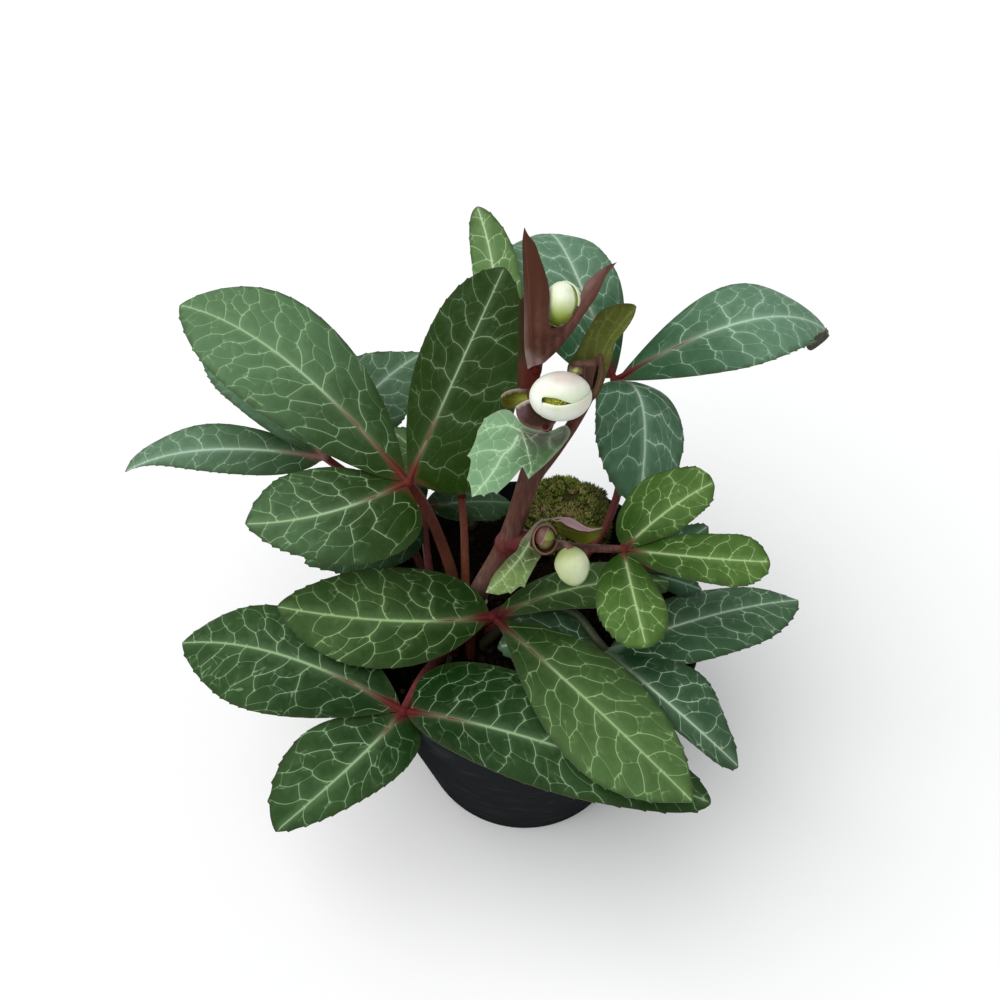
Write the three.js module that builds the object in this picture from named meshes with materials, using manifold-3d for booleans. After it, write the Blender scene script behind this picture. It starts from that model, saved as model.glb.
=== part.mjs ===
// Hellebore in its nursery pot. Millimetres, +Z up, pot axis on Z, pot standing on z = 0.
// +X is to the right and +Y to the back of the plant.
import * as THREE from 'three';
import Module from 'manifold-3d';

const wasm = await Module();
wasm.setup();
const { Manifold, Mesh } = wasm;

// ---------------------------------------------------------------- driving dimensions
const POT_RIM_R = 68;          // outside of the rim band
const POT_BASE_R = 47;         // outside of the wall at the foot
const POT_H = 106;             // rim height
const POT_WALL = 1.5;          // wall thickness
const RIM_BAND = 13;           // height of the rim band
const RIM_STEP = 1.6;          // how far the band stands out of the wall
const POT_SIDES = 36;          // facets round the pot
const DRAIN_R = 4;             // drain hole radius
const DRAIN_RING = 34;         // circle the drain holes lie on
const DRAIN_COUNT = 6;
const SOIL_Z = 91;             // mean level of the potting mix
const SOIL_RISE = 3;           // how much it heaps up towards the crown
const HOLE_DEPTH = 14;         // how deep each stem stands in the mix
const GAP = 0.3;               // clearance between neighbouring pieces
const BLADE = 0.8;             // leaf blade thickness
const BRACT = 0.7;             // bract thickness
const HUB_R = 3.0;             // swelling where three leaflets meet
const RIB = 0.9;               // midrib depth under the blade
const SLIVER = 0.05;           // edges shorter than this are merged where pieces were fused

// ---------------------------------------------------------------- small helpers
const vec = (p) => new THREE.Vector3(p[0], p[1], p[2]);
const rad = THREE.MathUtils.degToRad;

// Repeatable noise in 0..1 from whole numbers.
function hash(i, j = 0, k = 0) {
  const x = Math.sin(i * 127.1 + j * 311.7 + k * 74.7) * 43758.5453;
  return x - Math.floor(x);
}

// A closed solid from points and triangles.
function solid(points, triangles) {
  const body = new Manifold(new Mesh({
    numProp: 3,
    vertProperties: new Float32Array(points.flatMap((p) => [p.x, p.y, p.z])),
    triVerts: new Uint32Array(triangles.flat()),
  }));
  return body.volume() < 0 ? flipped(points, triangles) : body;
}

function flipped(points, triangles) {
  return solid(points, triangles.map(([a, b, c]) => [a, c, b]));
}

// A solid of closed rings laid one after another, with a flat fan on each end.
function loft(rings) {
  const n = rings[0].length;
  const points = rings.flat();
  const triangles = [];
  for (let r = 0; r + 1 < rings.length; r += 1) {
    for (let i = 0; i < n; i += 1) {
      const j = (i + 1) % n;
      const a = r * n + i;
      const b = r * n + j;
      triangles.push([a, b, b + n], [a, b + n, a + n]);
    }
  }
  const last = (rings.length - 1) * n;
  for (let i = 1; i + 1 < n; i += 1) {
    triangles.push([0, i + 1, i], [last, last + i, last + i + 1]);
  }
  return solid(points, triangles);
}

// A round stalk of `steps` lengths along a smooth curve through the points. `radii` are spread
// evenly from its foot to its top. With a `foot` point it first rises straight from there.
function stalk(path, radii, sides, steps, foot) {
  const curve = new THREE.CatmullRomCurve3(path.map(vec), false, 'centripetal');
  const centres = foot ? [vec(foot)] : [];
  for (let s = 0; s <= steps; s += 1) {
    centres.push(curve.getPointAt(s / steps));
  }
  const last = centres.length - 1;
  const heading = (k) => {
    if (foot && k < 2) {
      return new THREE.Vector3(0, 0, 1);
    }
    return centres[Math.min(k + 1, last)].clone().sub(centres[Math.max(k - 1, 0)]).normalize();
  };
  let before = heading(0);
  const normal = new THREE.Vector3(1, 0, 0);
  normal.addScaledVector(before, -normal.dot(before)).normalize();
  const rings = centres.map((centre, k) => {
    const now = heading(k);
    normal.applyQuaternion(new THREE.Quaternion().setFromUnitVectors(before, now));
    before = now;
    const binormal = now.clone().cross(normal);
    const f = (k / last) * (radii.length - 1);
    const i = Math.min(Math.floor(f), radii.length - 2);
    const r = radii[i] + (radii[i + 1] - radii[i]) * (f - i);
    const ring = [];
    for (let a = 0; a < sides; a += 1) {
      const t = (a / sides) * Math.PI * 2;
      ring.push(centre.clone()
        .addScaledVector(normal, Math.cos(t) * r)
        .addScaledVector(binormal, Math.sin(t) * r));
    }
    return ring;
  });
  return loft(rings);
}

// An egg-shaped ball: half-axes [x, y, z], its long axis turned to point along `axis`.
function egg(centre, axis, half, segments, taper = 0) {
  const ball = Manifold.sphere(1, segments);
  const turn = new THREE.Quaternion().setFromUnitVectors(
    new THREE.Vector3(0, 0, 1),
    vec(axis).normalize(),
  );
  return ball.warp((v) => {
    const pinch = 1 - taper * v[2];
    const p = new THREE.Vector3(v[0] * half[0] * pinch, v[1] * half[1] * pinch, v[2] * half[2]);
    p.applyQuaternion(turn).add(vec(centre));
    v[0] = p.x;
    v[1] = p.y;
    v[2] = p.z;
  });
}

// ---------------------------------------------------------------- leaf blades
// A leaflet starts at `from` and ends at `tip`. Its midrib is bowed by `bow`; the blade faces
// `up`, rolled by `roll` degrees. Pairs are for the left and the right half seen from above,
// looking towards the tip: `half` is the greatest half-width, which lies at `wide` of the
// length, and `full` near 1.2 gives a blunt half and near 2 a pointed one.
const LEAFLET = {
  up: [0, 0, 1],
  bow: [0, 0, 6],
  roll: 0,
  twist: 0,
  half: [15, 15],
  wide: [0.5, 0.5],
  full: [1.6, 1.6],
  fold: 12,
  arch: 0.3,
  wave: 0.7,
  teeth: 7,
  bite: 0.045,
  stem: 1.3,
  skew: 0.3,
  thick: BLADE,
  rib: RIB,
  start: 1,
};

function halfWidth(leaf, side, u) {
  const pick = side > 0 ? 0 : 1;
  const a = leaf.wide[pick] * leaf.full[pick];
  const b = leaf.full[pick] - a;
  const peak = leaf.wide[pick] ** a * (1 - leaf.wide[pick]) ** b;
  const shape = (u ** a * (1 - u) ** b) / peak;
  return Math.max(shape * leaf.half[pick], leaf.stem * (1 - u));
}

// Point of the upper face: `a` runs along the leaflet and `b` from the midrib to the margin.
function bladePoint(leaf, side, a, b) {
  const from = vec(leaf.from);
  const tip = vec(leaf.tip);
  const along = tip.clone().sub(from).normalize();
  from.addScaledVector(along, leaf.start);
  const middle = from.clone().add(tip).multiplyScalar(0.5).add(vec(leaf.bow));
  const u = a + leaf.skew * a * (1 - a) * b;
  const p = from.clone().multiplyScalar((1 - u) ** 2)
    .addScaledVector(middle, 2 * u * (1 - u))
    .addScaledVector(tip, u * u);
  const t = middle.clone().sub(from).multiplyScalar(1 - u)
    .addScaledVector(tip.clone().sub(middle), u)
    .normalize();
  const n = vec(leaf.up);
  n.addScaledVector(t, -n.dot(t)).normalize();
  n.applyAxisAngle(t, rad(leaf.roll + leaf.twist * u));
  const s = n.clone().cross(t);
  const w = halfWidth(leaf, side, u);
  const d = b * w;
  const folded = Math.sin(rad(leaf.fold)) * d;
  const arched = leaf.arch * b * b * w;
  const waved = leaf.wave * b * b * Math.sin(a * 11 + leaf.seed * 2.1 + side);
  p.addScaledVector(s, side * d * Math.cos(rad(leaf.fold)));
  p.addScaledVector(n, folded - arched + waved * Math.min(1, w / 6));
  return p;
}

// One toothed leaflet. Both faces are split into the same triangles.
function leaflet(spec) {
  const leaf = { ...LEAFLET, ...spec };
  const rows = leaf.teeth;
  const top = [];
  const faces = [];
  const mid = [];
  const add = (p) => top.push(p) - 1;
  for (let k = 0; k <= rows; k += 1) {
    mid.push(add(bladePoint(leaf, 1, k / rows, 0)));
  }
  const outlines = [];
  for (const side of [1, -1]) {
    const inner = [];
    const edge = [];
    const notch = [];
    for (let k = 0; k < rows; k += 1) {
      inner.push(add(bladePoint(leaf, side, k / rows, 0.52)));
      edge.push(add(bladePoint(leaf, side, k / rows, 1)));
      const cut = (k + 0.2 + 0.15 * hash(leaf.seed, k, side)) / rows;
      notch.push(add(bladePoint(leaf, side, cut, 1 - leaf.bite * (k ? 1 : 0.2))));
    }
    inner.push(mid[rows]);
    edge.push(mid[rows]);
    for (let k = 0; k < rows; k += 1) {
      faces.push([mid[k], inner[k], inner[k + 1]]);
      if (k + 1 < rows) {
        faces.push([mid[k], inner[k + 1], mid[k + 1]]);
      }
      faces.push([inner[k], edge[k], notch[k]]);
      faces.push([inner[k], notch[k], inner[k + 1]]);
      if (k + 1 < rows) {
        faces.push([inner[k + 1], notch[k], edge[k + 1]]);
      }
      if (side > 0) {
        const made = k + 1 < rows ? 5 : 3;
        for (const face of faces.slice(-made)) {
          face.reverse();
        }
      }
    }
    const line = [];
    for (let k = 0; k < rows; k += 1) {
      line.push(edge[k], notch[k]);
    }
    outlines.push({ line, inner });
  }
  const loop = [
    mid[0], outlines[1].inner[0], ...outlines[1].line, mid[rows],
    ...outlines[0].line.slice().reverse(), outlines[0].inner[0],
  ];
  return thicken(top, faces, loop, mid, leaf);
}

// Gives a face of triangles its thickness, with a rib under the midrib.
function thicken(top, faces, loop, mid, leaf) {
  const normals = top.map(() => new THREE.Vector3());
  for (const [a, b, c] of faces) {
    const n = top[b].clone().sub(top[a]).cross(top[c].clone().sub(top[a]));
    normals[a].add(n);
    normals[b].add(n);
    normals[c].add(n);
  }
  const count = top.length;
  const points = [...top];
  top.forEach((p, i) => {
    const k = mid.indexOf(i);
    const rib = k < 0 || k === mid.length - 1 ? 0 : leaf.rib * (1 - k / mid.length);
    points.push(p.clone().addScaledVector(normals[i].normalize(), -leaf.thick - rib));
  });
  const triangles = [...faces];
  for (const [a, b, c] of faces) {
    triangles.push([a + count, c + count, b + count]);
  }
  loop.forEach((a, i) => {
    const b = loop[(i + 1) % loop.length];
    triangles.push([a, a + count, b + count], [a, b + count, b]);
  });
  return solid(points, triangles);
}

// ---------------------------------------------------------------- leaves on their own stalks
// Every stalk rises from the crown ring round the flower stem, at the angle `ring`.
const CROWN = [-25, -6];
const CROWN_RING = 9.5;
const STALK_R = [1.95, 1.9, 1.7, 1.5];
const STALK_SIDES = 6;

const LEAVES = {
  upper_left: {
    hub: [-44, 14, 160],
    ring: 130,
    via: [[-29.5, 6, 112], [-34.5, 14, 130], [-40, 16.5, 147]],
    leaflets: [
      { tip: [-129, 67, 199], teeth: 9, bow: [-5, 16, 18], half: [22, 24], wide: [0.51, 0.57],
        full: [1.45, 1.6], roll: -13 },
      { tip: [-9.5, 65, 216], teeth: 9, bow: [1, -1, 4], half: [17.5, 25], wide: [0.59, 0.27],
        full: [1.55, 0.9], roll: 10 },
      { tip: [-99, -5, 159], teeth: 8, bow: [0, -9, -1], half: [23, 21], wide: [0.24, 0.58],
        full: [1.2, 1.3], roll: -16 },
    ],
  },
  centre: {
    hub: [-13.5, -20, 125],
    ring: 285,
    via: [[-21.5, -15.5, 108], [-17.5, -18, 118]],
    leaflets: [
      { tip: [-91, -19, 130], teeth: 9, bow: [4, -7, -1], half: [17.5, 21], wide: [0.54, 0.53],
        full: [1.75, 1.45], roll: -20 },
      { tip: [51, -84, 113.5], teeth: 9, bow: [1, 4, -3], half: [21, 20], wide: [0.52, 0.6],
        full: [1.85, 2.2] },
      { tip: [55, 3, 116], bow: [0, 5, 9], half: [13, 11], wide: [0.52, 0.62], roll: -7 },
    ],
  },
  front: {
    hub: [-44.5, -51, 113],
    ring: 245,
    via: [[-31, -20, 103], [-39, -36, 111]],
    leaflets: [
      { tip: [-131.5, -19, 106.5], teeth: 8, bow: [-4, 9, 13], half: [22, 19], wide: [0.54, 0.52],
        full: [1.7, 1.6], roll: -14 },
      { tip: [-90, -80.5, 81], teeth: 8, bow: [12, 6, 5], half: [14.5, 20], wide: [0.33, 0.66],
        full: [1.1, 1.9], roll: -30 },
      { tip: [61, -77, 101], bow: [-16, 7, 11], half: [25, 17], wide: [0.28, 0.42],
        full: [1.3, 1.8], roll: 5, teeth: 9 },
    ],
  },
  right: {
    hub: [28.5, -25, 110],
    ring: 325,
    via: [[-8, -11, 107], [8, -9, 115], [17, -12, 116], [25, -22, 113]],
    leaflets: [
      { tip: [74.5, -61, 91], bow: [-2, -11, 19], half: [17, 7], wide: [0.51, 0.64], arch: 0.1 },
      { tip: [107, 1.5, 106], teeth: 8, bow: [1.5, 1.5, 9.5], half: [16, 18.5], wide: [0.49, 0.47],
        full: [1.6, 1.4], roll: -9 },
      { tip: [-12, -24, 111], bow: [2, 4, 6], half: [12, 14.5], roll: -11, teeth: 6 },
    ],
  },
  rear_right: {
    hub: [34.5, 66, 165],
    ring: 35,
    via: [[0, 6, 103], [24, 21, 110], [36, 36, 128], [38, 52, 148]],
    leaflets: [
      { tip: [126, 93, 167.5], teeth: 9, bow: [16, 7, 30], half: [22.5, 20.5], wide: [0.55, 0.45],
        full: [1.9, 1.8], roll: 10 },
      { tip: [43, 25, 136], teeth: 8, bow: [9, 5, 32], half: [20, 21.5], wide: [0.63, 0.54],
        full: [1.6, 1.2], roll: -22 },
      { tip: [10, 127, 194], teeth: 9, bow: [-6, 8, 24], half: [28, 21], wide: [0.43, 0.51],
        full: [1.2, 1.55], roll: 8 },
    ],
  },
  far_left: {
    hub: [-81, 45.5, 142],
    ring: 170,
    via: [[-41, 15, 101], [-58, 44, 114]],
    leaflets: [
      { tip: [-142.5, 96, 152.5], bow: [4, 4, 8], half: [13, 16], full: [1.7, 1.6], roll: 10 },
      { tip: [-171, 57, 122], bow: [-11, 2, 15], half: [8.5, 13], wide: [0.33, 0.55],
        full: [1.7, 1.4], roll: -20 },
      { tip: [-43.5, 95.5, 156], bow: [-5, 0, 9], half: [20, 18], wide: [0.44, 0.43],
        full: [1.8, 1.7], roll: 18 },
    ],
  },
  rear: {
    hub: [-26.5, 35.5, 130],
    ring: 90,
    via: [[-25, 14, 108], [-25.5, 27, 121]],
    leaflets: [
      { tip: [-20, 112, 214], bow: [21, 0, 12], half: [9, 11], wide: [0.68, 0.62], roll: -20 },
      { tip: [-33, 66, 185], bow: [0, -2, 4], half: [10, 10], teeth: 6 },
      { tip: [-56, 56, 148], bow: [0, 0, 4], half: [11, 11], teeth: 6 },
    ],
  },
  inner_left: {
    hub: [-42, 33, 126],
    ring: 205,
    via: [[-36, -4, 105], [-40, 16, 119]],
    leaflets: [
      { tip: [-87, 8, 121], bow: [7, -2, 4], half: [17, 12], wide: [0.42, 0.52], roll: -10 },
      { tip: [-5.5, 52, 108], bow: [0, 2, 2], half: [8, 9.5], teeth: 6 },
      { tip: [-56, 59, 129], bow: [0, 0, 3], half: [8, 8], teeth: 6 },
    ],
  },
  inner_right: {
    hub: [44, 12, 111],
    ring: 0,
    via: [[-2, -1, 101], [22, 7, 106]],
    leaflets: [
      { tip: [71, 22, 127], bow: [2, 0, 1], half: [9, 9], teeth: 6 },
      { tip: [68, 2, 112], bow: [0, 0, 2], half: [6, 6], teeth: 6 },
      { tip: [54, 34, 112], bow: [0, 0, 2], half: [6, 6], teeth: 6 },
    ],
  },
};

function crownFoot(leaf) {
  const t = rad(leaf.ring);
  return [CROWN[0] + Math.cos(t) * CROWN_RING, CROWN[1] + Math.sin(t) * CROWN_RING];
}

// The stalk of a leaf, `extra` thicker all round and longer at its upper end.
function leafStalk(leaf, extra) {
  const [x, y] = crownFoot(leaf);
  const end = vec(leaf.hub);
  const last = vec(leaf.via[leaf.via.length - 1]);
  end.addScaledVector(end.clone().sub(last).normalize(), extra);
  const path = [[x, y, SOIL_Z + SOIL_RISE + 1.5], ...leaf.via, end.toArray()];
  const radii = STALK_R.map((r) => r + extra);
  return stalk(path, radii, STALK_SIDES, 7, [x, y, SOIL_Z - HOLE_DEPTH]);
}

function blades(leaf, seed) {
  let body = egg(leaf.hub, [0, 0, 1], [HUB_R, HUB_R, HUB_R * 0.9], 8);
  leaf.leaflets.forEach((spec, i) => {
    body = body.add(leaflet({ ...spec, from: leaf.hub, seed: seed + i }));
  });
  return body.subtract(leafStalk(leaf, GAP));
}

// ---------------------------------------------------------------- flower stem
const STEM_TOP = [1.6, -7.5, 202];
const STEM_NODE = [-8, -5, 151];
const STEM_LEAF_HUB = [32, -9, 150];
const STEM_R = [4.7, 4.6, 4.4, 4.1, 3.8, 3.6];

const stemPaths = (extra) => [
  stalk([
    [CROWN[0], CROWN[1], SOIL_Z + SOIL_RISE + 1.5],
    [-20.5, -4.8, 115],
    STEM_NODE,
    STEM_TOP,
  ], STEM_R.map((r) => r + extra), 9, 8, [CROWN[0], CROWN[1], SOIL_Z - HOLE_DEPTH]),
  stalk([STEM_TOP, [3, -7, 206], [7, 0.5, 210.5]], [2.4 + extra, 2 + extra, 1.7 + extra], 6, 3),
  stalk([STEM_TOP, [-0.6, 0, 210], [-0.6, 2.4, 219], [5.6, 7, 234.5]],
    [2.6 + extra, 2.2 + extra, 1.8 + extra], 6, 5),
  stalk([STEM_TOP, [9, -3.4, 206], [15.5, 1.6, 211]], [2.4 + extra, 1.9 + extra], 6, 3),
  stalk([STEM_NODE, [1, -8.5, 153.5], [16, -9.4, 151.5], STEM_LEAF_HUB],
    [3.8 + extra, 1.8 + extra, 1.4 + extra, 1.4 + extra], 7, 7),
  stalk([[8, -9, 152], [11, -14, 158.5], [12.6, -18.5, 161]], [1.5 + extra, 1.3 + extra], 6, 3),
  stalk([[-2, -7.5, 152], [1, -9.6, 156], [3.4, -13, 159]], [2.2 + extra, 1.4 + extra], 6, 3),
];

const joined = (parts) => parts.slice(1).reduce((sum, part) => sum.add(part), parts[0]);
const flowerStem = joined(stemPaths(0));
const stemRoom = joined(stemPaths(GAP));

// Cuts a piece back to stand clear of the stem, and drops any scrap beyond the stem.
function clearOfStem(body) {
  const pieces = body.subtract(stemRoom).decompose();
  return pieces.reduce((best, piece) => (piece.volume() > best.volume() ? piece : best));
}

// A leaf or bract on the flower stem: blades fused to a ball at their foot.
function onStem(leaflets, hub, hubRadius, seed) {
  let body = egg(hub, [0, 0, 1], [hubRadius, hubRadius, hubRadius], 8);
  leaflets.forEach((spec, i) => {
    body = body.add(leaflet({ from: hub, ...spec, seed: seed + i }));
  });
  return body;
}

const bract = (spec) => ({
  thick: BRACT,
  rib: 0.4,
  teeth: 6,
  bite: 0.04,
  wave: 0.3,
  fold: 4,
  arch: -0.15,
  stem: 2,
  ...spec,
});

const stemLeaf = onStem([
  { tip: [63.5, 10, 165], bow: [1.5, 7.5, -2], half: [16, 8.5], wide: [0.48, 0.58],
    full: [1.3, 1.6], teeth: 7 },
  { tip: [81, -17, 153], bow: [7, -3, 1], half: [12, 10], wide: [0.63, 0.58],
    full: [1.45, 1.45], roll: 8, teeth: 7 },
  { tip: [36, -47.5, 147], bow: [-1, -2.5, 3.5], half: [10.5, 13], wide: [0.6, 0.55], teeth: 7 },
], STEM_LEAF_HUB, 2.6, 40);

const FACING = [0, -0.7, 0.7];   // bracts that stand up turn their outer face this way

const BRACTS = {
  bract_purple_tall: {
    colour: 0x5a3236,
    hub: [-0.2, 1.8, 221.5],
    ball: 3,
    lobes: [
      bract({ tip: [-4, 31, 250.5], up: FACING, bow: [-1, -3, 0], half: [1.6, 7], wide: [0.4, 0.36],
        full: [1.6, 1.9] }),
      bract({ tip: [23, 14, 248], up: [0.5, -0.6, 0.6], bow: [5, -2, -5], half: [4, 4.5],
        wide: [0.4, 0.4], roll: 20 }),
      bract({ tip: [-5.5, 12, 235], up: FACING, bow: [-1.6, 1, 0], half: [2.4, 2.4], teeth: 4 }),
    ],
  },
  bract_olive: {
    colour: 0x55512a,
    hub: [16.5, 1, 211],
    ball: 2.5,
    lobes: [
      bract({ tip: [29, 14, 235], up: FACING, bow: [-1, 0, 2], half: [5.5, 4], wide: [0.55, 0.55] }),
    ],
  },
  bract_purple_low: {
    colour: 0x6a4048,
    hub: [0.4, -9, 207.5],
    ball: 2.2,
    lobes: [
      bract({ tip: [-6.5, 1, 207.5], bow: [-2, -3, -3], half: [5, 5], wide: [0.5, 0.5], teeth: 5,
        roll: 25 }),
    ],
  },
  bract_green_low: {
    colour: 0x6f9a62,
    hub: [-1.5, -12.2, 202],
    ball: 2.2,
    lobes: [
      bract({ tip: [-20, -22, 190], bow: [-1.5, -1, 4], half: [8.5, 12], wide: [0.4, 0.3],
        full: [1.5, 1.1], roll: -8, teeth: 7, bite: 0.08 }),
      bract({ tip: [-2.5, -22, 188], bow: [2, -1, 2], half: [10, 5.5], wide: [0.3, 0.4],
        full: [1.3, 1.6], bite: 0.08, teeth: 5 }),
      bract({ tip: [13, -3.5, 205], bow: [1, -3, 0], half: [3, 6], wide: [0.45, 0.4],
        teeth: 5 }),
    ],
  },
  bract_olive_small: {
    colour: 0x6a6236,
    hub: [-2.4, 1.4, 213],
    ball: 2.5,
    lobes: [
      bract({ tip: [-11, 5, 212], bow: [0, -1, -2], half: [3, 3], teeth: 4 }),
    ],
  },
  bract_side_green: {
    colour: 0x6b9440,
    hub: [0.2, -9.4, 155.8],
    ball: 2.4,
    lobes: [
      bract({ tip: [-15.5, -32, 153], bow: [-1, -2, 4], half: [6, 4.5], wide: [0.5, 0.4], roll: 12,
        bite: 0.07 }),
    ],
  },
  bract_side_purple: {
    colour: 0x94768c,
    hub: [4.4, -8.3, 158],
    ball: 2.2,
    lobes: [
      bract({ tip: [22.5, -12, 165], bow: [-1, 3, 4], half: [2.2, 3.8], wide: [0.45, 0.4],
        up: [0, 0.3, 0.9], teeth: 5 }),
    ],
  },
};

// ---------------------------------------------------------------- buds
// A sepal is a curved patch of the bud's egg, from the stalk end (0) to the nose (180 degrees),
// `span` degrees to each side of `spin`, standing `out` of the egg.
const SEPAL_ROWS = 5;

function sepal(bud, spec) {
  const wide = Math.max(3, Math.round(spec.span / 20));
  const axis = vec(bud.axis).normalize();
  const across = vec(bud.right || [1, 0, 0]);
  across.addScaledVector(axis, -across.dot(axis)).normalize();
  const third = axis.clone().cross(across);
  const at = (row, column, scale) => {
    const t = rad(spec.from + ((spec.to - spec.from) * row) / SEPAL_ROWS);
    const swell = Math.sin(Math.PI * (0.16 + (0.74 * row) / SEPAL_ROWS)) ** 0.6;
    const f = rad(spec.spin + spec.span * swell * (column / wide) * 2 - spec.span * swell);
    return vec(bud.centre)
      .addScaledVector(across, bud.half[0] * Math.sin(t) * Math.cos(f) * scale)
      .addScaledVector(third, bud.half[1] * Math.sin(t) * Math.sin(f) * scale)
      .addScaledVector(axis, -bud.half[2] * Math.cos(t) * scale);
  };
  const columns = wide + 1;
  const points = [];
  for (const scale of [1 + spec.out, spec.inner]) {
    for (let r = 0; r <= SEPAL_ROWS; r += 1) {
      for (let c = 0; c < columns; c += 1) {
        points.push(at(r, c, scale));
      }
    }
  }
  const layer = (SEPAL_ROWS + 1) * columns;
  const triangles = [];
  for (let r = 0; r < SEPAL_ROWS; r += 1) {
    for (let c = 0; c < wide; c += 1) {
      const k = r * columns + c;
      triangles.push([k, k + 1, k + columns + 1], [k, k + columns + 1, k + columns]);
      triangles.push([k + layer, k + layer + columns + 1, k + layer + 1]);
      triangles.push([k + layer, k + layer + columns, k + layer + columns + 1]);
    }
  }
  const loop = [];
  for (let c = 0; c < wide; c += 1) {
    loop.push(c);
  }
  for (let r = 0; r < SEPAL_ROWS; r += 1) {
    loop.push(r * columns + wide);
  }
  for (let c = wide; c > 0; c -= 1) {
    loop.push(SEPAL_ROWS * columns + c);
  }
  for (let r = SEPAL_ROWS; r > 0; r -= 1) {
    loop.push(r * columns);
  }
  loop.forEach((a, i) => {
    const b = loop[(i + 1) % loop.length];
    triangles.push([b, a, a + layer], [b, a + layer, b + layer]);
  });
  return solid(points, triangles);
}

const BUD_MAIN = {
  centre: [7, -4.5, 215.5],
  axis: [-0.1, -0.83, 0.56],
  half: [9.1, 7.3, 7.9],
};
const BUD_UPPER = { centre: [7, 8, 240], axis: [0.12, 0.1, 1], half: [5.5, 5.5, 7] };
const BUD_SMALL = { centre: [4, -14.5, 160.8], axis: [0.2, -0.7, 0.7], half: [3.4, 3.4, 4] };
const BUD_LOWER = { centre: [13, -20.5, 156], axis: [0.12, -0.4, -0.9], half: [5.9, 5.6, 6.8] };

const budHeart = (extra) => egg(
  BUD_MAIN.centre,
  BUD_MAIN.axis,
  BUD_MAIN.half.map((x) => x * 0.72 + extra),
  12,
);

function budMain() {
  const coat = { inner: 0.87, from: 8, to: 160, out: 0 };
  let body = egg([7.8, 1.8, 211.2], BUD_MAIN.axis, [3.2, 3.2, 1.8], 8);
  body = body.add(sepal(BUD_MAIN, { ...coat, spin: 92, span: 84, to: 166, out: 0.06 }));
  body = body.add(sepal(BUD_MAIN, { ...coat, spin: 272, span: 84, to: 150, out: 0.04 }));
  body = body.add(sepal(BUD_MAIN, { ...coat, spin: 186, span: 40 }));
  body = body.add(sepal(BUD_MAIN, { ...coat, spin: 0, span: 44 }));
  return clearOfStem(body.subtract(budHeart(GAP)));
}

function closedBud(bud, sepals) {
  let body = egg(bud.centre, bud.axis, bud.half.map((x) => x * 0.92), 12);
  for (const spec of sepals) {
    body = body.add(sepal(bud, { inner: 0.8, from: 6, to: 170, out: 0.03, ...spec }));
  }
  return clearOfStem(body);
}

// ---------------------------------------------------------------- pot and potting mix
function lathe(profile) {
  const geometry = new THREE.LatheGeometry(
    profile.map(([r, z]) => new THREE.Vector2(r, z)),
    POT_SIDES,
  );
  geometry.rotateX(Math.PI / 2);
  return fromGeometry(geometry);
}

function fromGeometry(geometry) {
  const flat = geometry.index ? geometry.toNonIndexed() : geometry;
  const at = flat.getAttribute('position');
  const seen = new Map();
  const points = [];
  const order = [];
  for (let i = 0; i < at.count; i += 1) {
    const p = new THREE.Vector3().fromBufferAttribute(at, i);
    const key = p.toArray().map((x) => Math.round(x * 2000)).join();
    if (!seen.has(key)) {
      seen.set(key, points.push(p) - 1);
    }
    order.push(seen.get(key));
  }
  const triangles = [];
  for (let i = 0; i < order.length; i += 3) {
    const [a, b, c] = order.slice(i, i + 3);
    if (a !== b && b !== c && c !== a) {
      triangles.push([a, b, c]);
    }
  }
  return solid(points, triangles);
}

const BAND_Z = POT_H - RIM_BAND;
const wallR = (z) => POT_BASE_R + ((POT_RIM_R - RIM_STEP - POT_BASE_R) * z) / BAND_Z;

function potBody() {
  let pot = lathe([
    [0, 0],
    [POT_BASE_R - 1.5, 0],
    [wallR(1.5), 1.5],
    [wallR(BAND_Z) - 0.2, BAND_Z - 1],
    [POT_RIM_R - 0.4, BAND_Z + 0.4],
    [POT_RIM_R, BAND_Z + 2],
    [POT_RIM_R, POT_H - 1],
    [POT_RIM_R - 0.6, POT_H],
    [POT_RIM_R - 1.9, POT_H],
    [POT_RIM_R - 2.2, POT_H - 1],
    [POT_RIM_R - 2.4, BAND_Z + 1],
    [wallR(BAND_Z) - POT_WALL - 0.5, BAND_Z - 2],
    [wallR(2) - POT_WALL, 2],
    [0, 2],
  ]);
  for (let k = 0; k < DRAIN_COUNT; k += 1) {
    const t = (k / DRAIN_COUNT) * Math.PI * 2;
    const hole = Manifold.cylinder(6, DRAIN_R, DRAIN_R, 10, true)
      .translate([Math.cos(t) * DRAIN_RING, Math.sin(t) * DRAIN_RING, 0]);
    pot = pot.subtract(hole);
  }
  return pot;
}

// Height of the potting mix: uneven, heaped towards the crown.
function soilHeight(x, y) {
  const far = Math.hypot(x - CROWN[0], y - CROWN[1]);
  const heap = SOIL_RISE * Math.exp(-((far / 26) ** 2)) - 0.6;
  const lumps = Math.sin(x * 0.21 + 1) * Math.cos(y * 0.19) + 0.7 * Math.sin(x * 0.47 - y * 0.53);
  return SOIL_Z + heap + 0.7 * lumps;
}

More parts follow.
